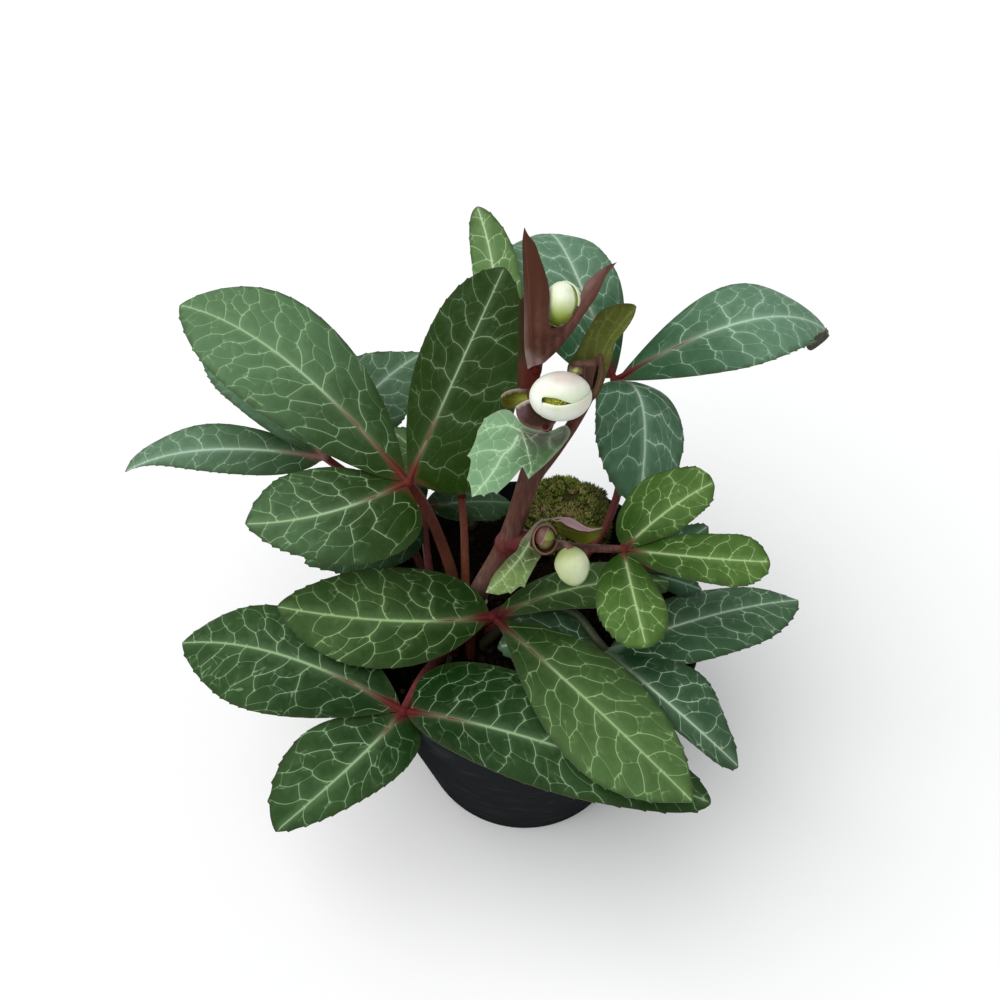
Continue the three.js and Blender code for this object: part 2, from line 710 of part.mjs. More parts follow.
function soilBody() {
  const rings = [8, 20, 33, 46, 57];
  const edge = wallR(BAND_Z) - POT_WALL - 0.5 - 0.5;
  const points = [];
  const triangles = [];
  const ring = (r, height) => {
    const first = points.length;
    for (let i = 0; i < POT_SIDES; i += 1) {
      const t = (i / POT_SIDES) * Math.PI * 2;
      const [x, y] = [Math.sin(t) * r, Math.cos(t) * r];
      points.push(new THREE.Vector3(x, y, height(x, y)));
    }
    return first;
  };
  const bridge = (a, b) => {
    for (let i = 0; i < POT_SIDES; i += 1) {
      const j = (i + 1) % POT_SIDES;
      triangles.push([a + i, b + i, b + j], [a + i, b + j, a + j]);
    }
  };
  points.push(new THREE.Vector3(0, 0, soilHeight(0, 0)));
  let last = ring(rings[0], soilHeight);
  for (let i = 0; i < POT_SIDES; i += 1) {
    triangles.push([0, last + i, last + ((i + 1) % POT_SIDES)]);
  }
  for (const r of rings.slice(1)) {
    const next = ring(r, soilHeight);
    bridge(last, next);
    last = next;
  }
  const rim = ring(edge - 0.3, () => SOIL_Z - 1);
  bridge(last, rim);
  const foot = ring(wallR(2.4) - POT_WALL - 0.5, () => 2.4);
  bridge(rim, foot);
  const centre = points.push(new THREE.Vector3(0, 0, 2.4)) - 1;
  for (let i = 0; i < POT_SIDES; i += 1) {
    triangles.push([centre, foot + ((i + 1) % POT_SIDES), foot + i]);
  }
  return solid(points, triangles);
}

// A plain upright hole for a stem foot.
function footHole([x, y], r) {
  return Manifold.cylinder(HOLE_DEPTH + 12, r + GAP, r + GAP, 10)
    .translate([x, y, SOIL_Z - HOLE_DEPTH - GAP]);
}

// A cushion of moss by the rim, on a plain round foot that stands in the mix.
const MOSS = [17, 49.5];
const MOSS_FOOT_R = 9.5;
const MOSS_FOOT_Z = SOIL_Z - 6;
const MOSS_HALF = [15, 12.5, 24];
const MOSS_TUFTS = 12;
const MOSS_REACH = 63.6;       // it is pressed against the inside of the pot here

// Point of the cushion's skin, from the top (`v` = 0) down to its skirt (`v` = 1).
function mossPoint(u, v) {
  const turn = u * Math.PI * 2;
  const lump = 1 + 0.05 * Math.sin(3 * turn + 7 * v) + 0.04 * Math.sin(5 * turn - 4 * v + 1);
  const wide = Math.sin(v * Math.PI * 0.5) ** 0.75 * lump;
  const lean = 4 * (1 - v);
  const x = MOSS[0] + MOSS_HALF[0] * wide * Math.cos(turn) + lean * 0.3;
  const y = MOSS[1] + MOSS_HALF[1] * wide * Math.sin(turn) + lean;
  const press = Math.min(1, MOSS_REACH / Math.hypot(x, y));
  const rise = Math.cos(v * Math.PI * 0.5) ** 0.8 * lump;
  return new THREE.Vector3(x * press, y * press, SOIL_Z + 2 + MOSS_HALF[2] * rise);
}

function mossCushion() {
  const around = 14;
  const rings = [0.16, 0.36, 0.56, 0.78, 1].map((v) => {
    const ring = [];
    for (let i = 0; i < around; i += 1) {
      ring.push(mossPoint(i / around, v));
    }
    return ring;
  });
  let body = loft(rings).add(
    Manifold.cylinder(SOIL_Z - MOSS_FOOT_Z + 8, MOSS_FOOT_R, MOSS_FOOT_R, 12)
      .translate([MOSS[0], MOSS[1], MOSS_FOOT_Z]),
  );
  for (let k = 0; k < MOSS_TUFTS; k += 1) {
    const at = mossPoint(k * 0.382 + 0.5, 0.1 + 0.5 * hash(k, 2));
    const out = [at.x - MOSS[0], (at.y - MOSS[1]) * 0.3, 14];
    body = body.add(egg(at.toArray(), out, [3.4, 2.8, 2.4 + hash(k, 4)], 4));
  }
  return body;
}

// A young shoot beside the flower stem, with a round bud on it.
const SHOOT = [-17.5, 7];
const SHOOT_R = 1.1;
const crownShoot = stalk([
  [SHOOT[0], SHOOT[1], SOIL_Z - HOLE_DEPTH],
  [SHOOT[0], SHOOT[1], 97],
], [SHOOT_R, SHOOT_R], 6, 2).add(egg([SHOOT[0], SHOOT[1], 97], [0, 0, 1], [1.7, 1.7, 2], 8));

let soil = soilBody()
  .subtract(footHole(CROWN, STEM_R[0] + 0.1))
  .subtract(footHole(SHOOT, SHOOT_R + 0.1))
  .subtract(Manifold.cylinder(40, MOSS_FOOT_R + GAP, MOSS_FOOT_R + GAP, 12)
    .translate([MOSS[0], MOSS[1], MOSS_FOOT_Z - GAP]));
for (const leaf of Object.values(LEAVES)) {
  soil = soil.subtract(footHole(crownFoot(leaf), STALK_R[0] + 0.1));
}

// ---------------------------------------------------------------- assembly
const group = new THREE.Group();
group.name = 'hellebore_plant';

function place(name, body, colour, roughness = 0.6) {
  const mesh = body.simplify(SLIVER).getMesh();
  const geometry = new THREE.BufferGeometry();
  const at = new Float32Array(mesh.numVert * 3);
  for (let i = 0; i < mesh.numVert; i += 1) {
    for (let k = 0; k < 3; k += 1) {
      at[i * 3 + k] = mesh.vertProperties[i * mesh.numProp + k];
    }
  }
  geometry.setAttribute('position', new THREE.BufferAttribute(at, 3));
  geometry.setIndex(new THREE.BufferAttribute(new Uint32Array(mesh.triVerts), 1));
  const made = new THREE.Mesh(geometry, new THREE.MeshStandardMaterial({ color: colour, roughness }));
  made.name = name;
  group.add(made);
}

place('pot', potBody(), 0x151516, 0.45);
place('potting_mix', soil, 0x2a1d14, 1);
place('moss_cushion', mossCushion(), 0x55652a, 1);
place('crown_shoot', crownShoot, 0xc9a7a4);
place('flower_stem', flowerStem, 0x7b4a4a);
Object.entries(LEAVES).forEach(([name, leaf], i) => {
  place(`stalk_${name}`, leafStalk(leaf, 0), 0x8a4638);
  place(`leaf_${name}`, blades(leaf, i * 3 + 1), 0x2c5530);
});
place('leaf_on_stem', clearOfStem(stemLeaf), 0x4d7a35);
Object.entries(BRACTS).forEach(([name, spec], i) => {
  const body = onStem(spec.lobes, spec.hub, spec.ball, 60 + i * 3);
  place(name, clearOfStem(body), spec.colour);
});
place('bud_main_sepals', budMain(), 0xe9ecdf, 0.5);
place('bud_main_heart', clearOfStem(budHeart(0)), 0xa9b02a);
place('bud_upper', closedBud(BUD_UPPER, [
  { spin: 250, span: 88, out: 0.06, to: 174 },
]), 0xdfe8b8, 0.5);
place('bud_lower', closedBud(BUD_LOWER, [
  { spin: 110, span: 88, out: 0.06, to: 174 },
]), 0xdbe8b0, 0.5);

place('bud_small', closedBud(BUD_SMALL, [{ spin: 200, span: 75, out: 0.08 }]), 0x6d3a2c);
const hood = egg([12.4, 6.2, 217], [0, 0.25, 1], [3.7, 3.1, 5.6], 8, 0.15);
place('bract_hood', clearOfStem(hood), 0x5c3a34);

export default group;
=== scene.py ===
"""Looks of the potted hellebore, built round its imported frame. Lengths are millimetres until a mesh is made.

A leaf or bract is a thin skin over a net of veins. The net is a graph of the meshes' borders. It grows
from the midrib outwards, so that veins which feed more meshes are stronger. Point values drive the
materials: vein, glow (the pale zone beside veins), red, pale, tint, tone, edge and under (underside)."""

import heapq
import math

import bpy
import numpy as np
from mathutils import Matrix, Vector
from mathutils.geometry import delaunay_2d_cdt


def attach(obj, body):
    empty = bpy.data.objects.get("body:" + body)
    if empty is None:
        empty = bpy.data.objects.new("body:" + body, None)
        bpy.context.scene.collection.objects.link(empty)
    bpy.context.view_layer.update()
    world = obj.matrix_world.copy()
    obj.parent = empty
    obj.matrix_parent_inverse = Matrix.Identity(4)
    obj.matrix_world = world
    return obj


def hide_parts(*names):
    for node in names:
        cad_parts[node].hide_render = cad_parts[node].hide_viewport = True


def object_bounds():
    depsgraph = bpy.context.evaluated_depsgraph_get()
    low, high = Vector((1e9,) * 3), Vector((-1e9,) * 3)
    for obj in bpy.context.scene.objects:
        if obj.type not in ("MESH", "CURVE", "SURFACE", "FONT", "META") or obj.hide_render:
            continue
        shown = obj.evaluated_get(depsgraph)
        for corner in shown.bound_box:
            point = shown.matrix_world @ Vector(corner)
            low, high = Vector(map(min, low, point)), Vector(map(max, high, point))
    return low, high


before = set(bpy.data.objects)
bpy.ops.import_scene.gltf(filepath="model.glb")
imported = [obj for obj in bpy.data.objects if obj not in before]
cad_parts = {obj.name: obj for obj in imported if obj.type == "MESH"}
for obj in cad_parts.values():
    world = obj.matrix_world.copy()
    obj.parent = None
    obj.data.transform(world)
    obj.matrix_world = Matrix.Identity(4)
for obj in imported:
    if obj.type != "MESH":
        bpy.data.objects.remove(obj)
CAD_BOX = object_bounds()
MM = 0.001

# ------------------------------------------------------------------ the plant, as in its solids
POT_RIM_R, POT_BASE_R, POT_H, POT_WALL = 68.0, 47.0, 106.0, 1.5
RIM_BAND, RIM_STEP = 13.0, 1.6
DRAIN_R, DRAIN_RING, DRAIN_COUNT, DRAIN_CUT = 4.0, 34.0, 6, (-3, 2.2)
POT_SIDES, DRAIN_SIDES, POT_SHARP = 144, 32, 40
SOIL_Z, SOIL_RISE, HOLE_DEPTH, CRUMBS = 91.0, 3.0, 14.0, 900
CROWN, CROWN_RING = (-25.0, -6.0), 9.5
SHOOT = (-17.5, 7)
STALK_R = (2.1, 1.85, 1.7, 1.55, 1.6)
STEM_R = (4.4, 4.2, 4.0, 3.9, 3.7, 3.5)
HUB_HALF = (1.9, 1.9, 1.7)

# A leaflet runs from its leaf's hub to its tip; `bow` moves the middle of that line and `roll` turns the blade
# about it, in degrees. Pairs are for the left and right of the midrib, seen from above with the tip ahead: the
# half-width, the share of the length where it is widest, and how fast it narrows from there.
LEAFLET = dict(bow=(0, 0, 6), roll=0, half=(15, 15), wide=(0.5, 0.5), full=(1.6, 1.6), arch=0.3, cell=9.4,
               vein_scale=1.0, tone=0.62, dim=1.0, red_to=0.36, stain=1.0, quilt=0.16, thick=0.55, grid=2.6)
FOLD, WAVE, SKEW, LEAN = math.radians(12), 0.7, 0.3, 0.5
FOOT_HALF, FOOT_GAP = 1.3, 1.0
TEETH, FIRST_TOOTH, BITE = 13, 0.2, 0.0054

# A leaflet's tone is partly painted light and shade: the second leaflet of upper_left, which stands in shade,
# has a low tone, and the first of far_left, which faces away from the light, has a tone above 1 to paint it
# lighter.
LEAVES = {
    "upper_left": dict(hub=(-44, 14, 160), ring=130, via=[(-29.5, 6, 112), (-34.5, 14, 130), (-40, 16.5, 147)],
        leaflets=[
            dict(tip=(-129, 67, 199), bow=(-5, 16, 18), half=(22, 24), wide=(0.51, 0.57), full=(1.45, 1.6),
                 roll=-13, tone=0.95),
            dict(tip=(-9.5, 65, 216), bow=(1, -1, 4), half=(17.5, 26.6), wide=(0.59, 0.27), full=(1.55, 0.9),
                 roll=10, tone=0.17, dim=0.5),
            dict(tip=(-99, -5, 159), bow=(0, -9, -1), half=(23, 21), wide=(0.24, 0.58), full=(1.2, 1.3),
                 roll=-16, tone=0.5)]),
    "centre": dict(hub=(-13.5, -20, 125), ring=285, via=[(-21.5, -15.5, 108), (-17.5, -18, 118)],
        leaflets=[
            dict(tip=(-91, -19, 130), bow=(4, -7, -1), half=(17.5, 21.5), wide=(0.54, 0.44), full=(1.75, 1.15),
                 roll=-20, tone=0.46),
            dict(tip=(51, -84, 113.5), bow=(1, 4, -3), half=(21, 20), wide=(0.52, 0.6), full=(1.85, 2.2),
                 tone=0.76),
            dict(tip=(55, 3, 116), bow=(0, 5, 9), half=(13, 11), wide=(0.52, 0.62), roll=-7)]),
    "front": dict(hub=(-44.5, -51, 113), ring=245, via=[(-31, -20, 103), (-39, -36, 111)],
        leaflets=[
            dict(tip=(-131.5, -19, 106.5), bow=(-4, 9, 13), half=(22, 19), wide=(0.54, 0.52), full=(1.7, 1.6),
                 roll=-14, tone=0.44),
            dict(tip=(-90, -80.5, 81), bow=(12, 6, 5), half=(14.5, 20), wide=(0.33, 0.66), full=(1.1, 1.9),
                 roll=-30, tone=0.48),
            dict(tip=(60, -78.5, 100.5), bow=(-16, 7, 11), half=(25, 15), wide=(0.36, 0.55), full=(0.85, 1.3),
                 roll=5, tone=0.36)]),
    "right": dict(hub=(28.5, -25, 110), ring=325,
        via=[(-8, -11, 107), (8, -9, 115), (17, -12, 116), (25, -22, 113)],
        leaflets=[
            dict(tip=(74.5, -61, 91), bow=(-2, -11, 19), half=(17, 7), wide=(0.51, 0.64), arch=0.1),
            dict(tip=(107, 1.5, 106), bow=(1.5, 1.5, 9.5), half=(16, 18.5), wide=(0.49, 0.47), full=(1.6, 1.4),
                 roll=-9, tone=0.85),
            dict(tip=(-12, -24, 111), bow=(2, 4, 6), half=(12, 14.5), roll=-11)]),
    "rear_right": dict(hub=(34.5, 66, 165), ring=35,
        via=[(0, 6, 103), (24, 21, 110), (36, 36, 128), (38, 52, 148)],
        leaflets=[
            dict(tip=(126, 93, 167.5), bow=(16, 7, 30), half=(22.5, 20.5), wide=(0.55, 0.45), full=(1.9, 1.8),
                 roll=10, tone=0.95),
            dict(tip=(43, 25, 136), bow=(9, 5, 32), half=(20, 21.5), wide=(0.63, 0.54), full=(1.6, 1.2),
                 roll=-22, tone=0.5),
            dict(tip=(10, 127, 194), bow=(-6, 8, 24), half=(28, 21), wide=(0.47, 0.51), full=(1.0, 1.55),
                 roll=8, tone=0.9)]),
    "far_left": dict(hub=(-81, 45.5, 142), ring=170, via=[(-41, 15, 101), (-58, 44, 114)],
        leaflets=[
            dict(tip=(-140.5, 97, 152.5), bow=(4, 4, 8), half=(13.5, 16), full=(1.9, 1.6), roll=10, tone=1.6,
                 dim=0.4, red_to=0.15),
            dict(tip=(-171, 57, 122), bow=(-11, 2, 15), half=(11.3, 13), wide=(0.28, 0.55), full=(2.4, 1.4),
                 roll=-20, tone=0.75, red_to=0.12),
            dict(tip=(-43.5, 95.5, 156), bow=(-5, 0, 9), half=(20, 18), wide=(0.44, 0.43), full=(1.8, 1.7),
                 roll=18)]),
    "rear": dict(hub=(-26.5, 35.5, 130), ring=90, via=[(-25, 14, 108), (-25.5, 27, 121)],
        leaflets=[
            dict(tip=(-20, 112, 214), bow=(21, 0, 12), half=(9, 11), wide=(0.68, 0.62), roll=-20),
            dict(tip=(-33, 66, 185), bow=(0, -2, 4), half=(10, 10)),
            dict(tip=(-56, 56, 148), bow=(0, 0, 4), half=(11, 11))]),
    "inner_left": dict(hub=(-42, 33, 126), ring=205, via=[(-36, -4, 105), (-40, 16, 119)],
        leaflets=[
            dict(tip=(-87, 8, 121), bow=(7, -2, 4), half=(17, 12), wide=(0.42, 0.52), roll=-10),
            dict(tip=(-5.5, 52, 108), bow=(0, 2, 2), half=(12.5, 11.5)),
            dict(tip=(-56, 59, 129), bow=(0, 0, 3), half=(8, 8))]),
    "inner_right": dict(hub=(44, 12, 111), ring=0, via=[(-2, -1, 101), (22, 7, 106)],
        leaflets=[
            dict(tip=(71, 22, 127), bow=(2, 0, 1), half=(9, 9)),
            dict(tip=(68, 2, 112), bow=(0, 0, 2), half=(6, 6)),
            dict(tip=(54, 34, 112), bow=(0, 0, 2), half=(6, 6))]),
}

STEM_NODE, STEM_TOP = (-8, -5, 151), (1.6, -7.5, 202)
STEM_LEAF_HUB = (32, -9, 150)
STEM_BRANCHES = [
    dict(path=[STEM_TOP, (3, -7, 206), (7, 0.5, 210.5)], steps=24, radii=(2.3, 1.9, 1.6), red=1.0),
    dict(path=[STEM_TOP, (-0.6, 0, 210), (-0.6, 2.4, 219), (5.6, 7, 234.5)], steps=40,
         radii=(2.7, 2.4, 1.9, 1.3, 1.1), red=0.3),
    dict(path=[(-5.3, -5.7, 165), (-2.3, -4.9, 173.5), (1.2, -3.7, 182), (6.0, -2.6, 190.5),
               (11.0, -1.0, 199.7), (14.2, 1.1, 205.3), (16.0, 2.0, 209.5)],
         steps=60, radii=(2.6, 2.2, 2.1, 2.0, 1.8), ridge=0.02, red=0.2),
    dict(path=[STEM_NODE, (1, -8.5, 153.5), (16, -9.4, 151.5), STEM_LEAF_HUB], steps=60, sides=24,
         radii=(4.6, 3.6, 2.0, 1.5, 1.4, 1.4), red=lambda a: 0.9 * smooth(0.42, 0.15, a)),
    dict(path=[(8, -9, 152), (11, -14, 158.5), (12.6, -18.5, 161)], steps=24, sides=16, radii=(1.5, 1.25),
         pale=0.14),
    dict(path=[(-2, -7.5, 152), (1, -9.6, 156), (3.4, -13, 159)], steps=20, sides=16, radii=(2.1, 1.4),
         red=0.4),
]
STEM_LEAF = [
    dict(tip=(64, 9, 165), bow=(1.5, 7.5, -2), half=(17.3, 8.8), wide=(0.54, 0.58), full=(1.02, 1.25)),
    dict(tip=(81, -17, 153), bow=(7, -3, 1), half=(12, 10), wide=(0.63, 0.58), full=(1.3, 1.2), roll=8),
    dict(tip=(36, -47.5, 147), bow=(-1, -2.5, 3.5), half=(10.5, 13), wide=(0.6, 0.55), full=(1.25, 1.15)),
]
MAIN_BUD = dict(centre=(7, -4.5, 215.5), half=(9.0, 7.2, 7.9))
HEART_AXIS, HEART_HALF, HEART_GRAINS = (-0.1, -0.83, 0.56), (9.1, 7.3, 7.9), 90
UPPER_BUD = dict(centre=(6.8, 8.1, 238.9), up=(0.05, 0.73, 0.68), half=(5.2, 6.1, 5.2))
LOWER_BUD = dict(centre=(13.3, -21.2, 155.6), up=(-0.2, 0.71, 0.66), half=(5.7, 6.4, 5.7), point=0.1)
SMALL_BUD = dict(centre=(4.1, -14.1, 161.5), half=(4.5, 5.5, 4.2))
MOSS, MOSS_HALF, MOSS_REACH = (18.5, 48.5), (18.0, 15.0, 21.4), 62.5
MOSS_TUFTS, TUFT_TIPS, TUFT_REACH = 1300, 5, 64.2


# ------------------------------------------------------------------ small helpers
def arr(p):
    return np.asarray(p, float)


def unit(v):
    return v / np.maximum(np.linalg.norm(v, axis=-1, keepdims=True), 1e-12)


def smooth(lo, hi, x):
    """A soft step from 0 at lo to 1 at hi; it falls with x where lo is the larger."""
    t = np.clip((x - lo) / (hi - lo), 0, 1)
    return t * t * (3 - 2 * t)


def run_length(points):
    """Length of a line through the points."""
    return float(np.sum(np.linalg.norm(np.diff(arr(points), axis=0), axis=1)))


def circle(radius, z, sides, x=0.0, y=0.0):
    """Points of a level circle."""
    f = np.linspace(0, 2 * math.pi, sides, endpoint=False)
    return np.stack([x + radius * np.cos(f), y + radius * np.sin(f), np.full(sides, z)], 1)


def ring_faces(rings, sides, downward=False):
    """Faces round a stack of rings, closed by two end points that come after them."""
    faces = []
    for k in range(rings - 1):
        for i in range(sides):
            j = (i + 1) % sides
            faces.append((k * sides + i, k * sides + j, (k + 1) * sides + j, (k + 1) * sides + i))
    first, last, top = rings * sides, rings * sides + 1, (rings - 1) * sides
    for i in range(sides):
        j = (i + 1) % sides
        faces += [(first, j, i), (last, top + i, top + j)]
    return [face[:1] + face[:0:-1] for face in faces] if downward else faces


class Shell:
    """Vertices, faces and named point values of one piece, gathered from several closed shells."""

    def __init__(self):
        self.verts, self.faces, self.values, self.count = [], [], [], 0

    def add(self, verts, faces, **values):
        verts = arr(verts)
        self.verts.append(verts)
        self.faces += [[corner + self.count for corner in face] for face in faces]
        self.values.append({k: np.broadcast_to(arr(v), (len(verts),)) for k, v in values.items()})
        self.count += len(verts)

    def mesh_object(self, name, material, sharp):
        """An object of the shells so far; edges that bend by more than `sharp` degrees stay sharp."""
        mesh = bpy.data.meshes.new(name)
        verts = np.clip(np.concatenate(self.verts) * MM, CAD_BOX[0], CAD_BOX[1])
        mesh.from_pydata(verts.tolist(), [], self.faces)
        mesh.validate()
        for key in sorted({k for v in self.values for k in v}):
            data = np.concatenate([v.get(key, np.zeros(len(p))) for v, p in zip(self.values, self.verts)])
            mesh.attributes.new(key, "FLOAT", "POINT").data.foreach_set("value", data.astype(np.float32))
        mesh.shade_smooth()
        if sharp:
            mesh.set_sharp_from_angle(angle=math.radians(sharp))
        mesh.materials.append(material)
        made = bpy.data.objects.new(name, mesh)
        bpy.context.scene.collection.objects.link(made)
        return made

    def make(self, node, material, slot, sharp=50):
        """The finished piece, which stands for its node."""
        piece = self.mesh_object("fine_" + node, material, sharp)
        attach(piece, "root")
        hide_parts(node)
        return piece


# ------------------------------------------------------------------ node materials
class Nodes:
    """Short calls for a material's node tree."""

    def __init__(self, name):
        self.material = bpy.data.materials.new(name)
        self.material.use_nodes = True
        self.tree = self.material.node_tree
        self.tree.nodes.clear()
        self.shader = self.node("ShaderNodeBsdfPrincipled")
        self.tree.links.new(self.shader.outputs[0], self.node("ShaderNodeOutputMaterial").inputs[0])

    def node(self, kind, settings=(), inputs=()):
        node = self.tree.nodes.new(kind)
        for key, value in dict(settings).items():
            setattr(node, key, value)
        for key, value in dict(inputs).items():
            self.feed(node.inputs[key], value)
        return node

    def feed(self, socket, value):
        if isinstance(value, bpy.types.NodeSocket):
            self.tree.links.new(value, socket)
        elif isinstance(value, tuple) and len(socket.default_value) == 4:
            socket.default_value = (*value, 1)
        else:
            socket.default_value = value

    def set(self, **values):
        for key, value in values.items():
            self.feed(self.shader.inputs[key.replace("_", " ")], value)

    def value(self, name):
        return self.node("ShaderNodeAttribute", dict(attribute_name=name)).outputs["Fac"]

    def place(self):
        return self.node("ShaderNodeNewGeometry").outputs["Position"]

    def scaled(self, vector, scale):
        return self.node("ShaderNodeVectorMath", dict(operation="MULTIPLY"), {0: vector, 1: scale}).outputs[0]

    def noise(self, scale, detail=3, rough=0.55, vector=None):
        inputs = dict(Vector=vector or self.place(), Scale=scale, Detail=detail, Roughness=rough)
        return self.node("ShaderNodeTexNoise", inputs=inputs).outputs["Fac"]

    def dots(self, scale):
        inputs = dict(Vector=self.place(), Scale=scale)
        return self.node("ShaderNodeTexVoronoi", dict(feature="F1"), inputs).outputs["Distance"]

    def math(self, operation, *numbers):
        return self.node("ShaderNodeMath", dict(operation=operation), enumerate(numbers)).outputs[0]

    def ramp(self, value, lo, hi, to_lo=0.0, to_hi=1.0):
        inputs = {"Value": value, "From Min": lo, "From Max": hi, "To Min": to_lo, "To Max": to_hi}
        return self.node("ShaderNodeMapRange", dict(interpolation_type="SMOOTHSTEP"), inputs).outputs["Result"]

    def mix(self, factor, a, b):
        return self.node("ShaderNodeMix", dict(data_type="RGBA"), {0: factor, 6: a, 7: b}).outputs[2]

    def bump(self, height, strength, distance, over=None):
        inputs = dict(Height=height, Strength=strength, Distance=distance)
        if over:
            inputs["Normal"] = over
        return self.node("ShaderNodeBump", inputs=inputs).outputs[0]


def leaf_material(name, dark, light, vein, glow=0.5, red=(0.095, 0.012, 0.013), margin=(0.03, 0.045, 0.015),
                  under=(0.15, 0.2, 0.1), tint=(0.1, 0.04, 0.03), pale=(0.3, 0.36, 0.19), vein_gain=1.0):
    """Skin of leaves and bracts, from dark to light by its tone, which carries painted light and shade besides
    their own colour, with veins, stains, margin and underside.
    """
    n = Nodes(name)
    broad = n.math("MULTIPLY_ADD", n.noise(38, 2), 0.4, -0.2)
    fine = n.math("MULTIPLY_ADD", n.noise(340, 3), 0.2, -0.1)
    tone = n.math("ADD", n.value("tone"), n.math("ADD", broad, fine))
    colour = n.mix(n.ramp(tone, 0.0, 1.0), dark, light)
    colour = n.mix(n.value("tint"), colour, n.mix(n.ramp(tone, 0.1, 1.0), tuple(0.45 * c for c in tint), tint))
    # The default margin colour is a thin dark line along leaf edges: painted shade on the edge's thickness.
    # Bracts pass paler rim colours of their own.
    colour = n.mix(n.math("MULTIPLY", n.value("edge"), 0.6), colour, margin)
    colour = n.mix(n.math("MULTIPLY", n.value("glow"), glow), colour, vein)
    colour = n.mix(n.ramp(n.dots(800), 0.13, 0.05, 0, 0.16), colour, vein)
    veins = n.math("MULTIPLY", n.ramp(n.value("vein"), 0.0, 0.6), 0.85 * vein_gain)
    colour = n.mix(veins, colour, vein)
    colour = n.mix(n.value("pale"), colour, pale)
    colour = n.mix(n.value("red"), colour, red)
    colour = n.mix(n.value("spine"), colour, (0.4, 0.46, 0.24))
    colour = n.mix(n.value("scorch"), colour, (0.036, 0.028, 0.015))
    below = n.mix(n.math("MULTIPLY", n.value("vein"), 0.7), under, vein)
    below = n.mix(n.math("MULTIPLY", n.value("red"), 0.8), below, red)
    colour = n.mix(n.value("under"), colour, below)
    n.set(Base_Color=colour, Roughness=n.ramp(n.noise(150, 3), 0.3, 0.7, 0.36, 0.52))
    relief = n.bump(n.noise(1400, 4, 0.65), 0.2, 0.0002)
    relief = n.bump(n.noise(300, 2), 0.18, 0.0008, relief)
    n.set(Normal=n.bump(n.value("vein"), 0.2, -0.0002, relief))
    n.shader.inputs["Specular IOR Level"].default_value = 0.045
    return n.material


def stalk_material(name, low, high, streak, roughness=0.4):
    """Stalk that changes from its low to its high colour, with streaks along it."""
    n = Nodes(name)
    colour = n.mix(n.ramp(n.value("along"), 0.05, 0.8), low, high)
    stretched = n.scaled(n.place(), (1.0, 1.0, 0.1))
    lines = n.ramp(n.noise(900, 3, 0.6, stretched), 0.38, 0.72)
    colour = n.mix(n.math("MULTIPLY", lines, 0.55), colour, streak)
    colour = n.mix(n.ramp(n.noise(120, 3), 0.5, 0.75, 0, 0.4), colour, low)
    colour = n.mix(n.value("red"), colour, (0.1, 0.013, 0.014))
    colour = n.mix(n.value("pale"), colour, (0.62, 0.42, 0.38))
    n.set(Base_Color=colour, Roughness=n.ramp(n.noise(260, 2), 0.3, 0.7, roughness - 0.06, roughness + 0.1))
    n.set(Normal=n.bump(n.noise(1100, 3, 0.6, stretched), 0.3, 0.0004))
    n.shader.inputs["Specular IOR Level"].default_value = 0.15
    return n.material


def sepal_material(name, white, green, pink=(0.66, 0.45, 0.42)):
    """Soft skin of buds and shoot, faintly lined."""
    n = Nodes(name)
    lines = n.ramp(n.noise(420, 3, 0.5, n.scaled(n.place(), (1, 1, 0.25))), 0.4, 0.75, 0, 0.22)
    colour = n.mix(n.value("green"), white, green)
    colour = n.mix(lines, colour, green)
    colour = n.mix(n.value("pink"), colour, pink)
    colour = n.mix(n.value("heart"), colour, (0.3, 0.33, 0.02))
    colour = n.mix(n.value("brown"), colour, (0.12, 0.04, 0.03))
    n.set(Base_Color=colour, Roughness=0.42)
    n.set(Normal=n.bump(n.noise(700, 3), 0.2, 0.0005))
    n.shader.inputs["Subsurface Weight"].default_value = 0.15
    n.shader.inputs["Subsurface Radius"].default_value = (0.003, 0.003, 0.0015)
    n.shader.inputs["Subsurface Scale"].default_value = 0.4
    return n.material


# ------------------------------------------------------------------ blades with their net of veins
def half_width(leaf, side, u):
    """Half the width at the share u of the length, left (side > 0) or right of the midrib."""
    u = np.clip(u, 1e-6, 1 - 1e-6)
    widths = []
    for half, wide, full in zip(leaf["half"], leaf["wide"], leaf["full"]):
        a, b = wide * full, full - wide * full
        peak = wide ** a * (1 - wide) ** b
        widths.append(np.maximum(u ** a * (1 - u) ** b / peak * half, FOOT_HALF * (1 - u)))
    return np.where(side > 0, *widths)


def midline(leaf, u):
    """Points, tangents and normals of the midrib."""
    start, tip = arr(leaf["from"]), arr(leaf["tip"])
    start = start + unit(tip - start) * FOOT_GAP
    middle = (start + tip) / 2 + arr(leaf["bow"])
    u = u[:, None]
    p = start * (1 - u) ** 2 + middle * 2 * u * (1 - u) + tip * u * u
    t = unit((middle - start) * (1 - u) + (tip - middle) * u)
    n = unit(arr((0, 0, 1)) - t * t[:, 2:])
    roll = math.radians(leaf["roll"])
    return p, t, n * math.cos(roll) + np.cross(t, n) * math.sin(roll)


def blade_surface(leaf, x, y):
    """Points and normals of the upper face, x along the midrib and y to its left, before any relief."""
    u = np.clip(x / leaf["length"], 0, 1)
    side, d = np.where(y >= 0, 1.0, -1.0), np.abs(y)
    w = half_width(leaf, side, u)
    b = np.clip(d / np.maximum(w, 0.3), 0, 1.1)
    p, t, n = midline(leaf, u)
    crease = np.sqrt(d * d + 0.8) - math.sqrt(0.8)
    ripple = np.sin((u - SKEW * u * (1 - u) * b) * 11 + leaf["seed"] * 2.1 + side) * np.minimum(1, w / 6)
    lift = math.sin(FOLD) * crease - leaf["arch"] * b * b * w + WAVE * b * b * ripple
    return p + np.cross(n, t) * (y * math.cos(FOLD))[:, None] + n * lift[:, None], n


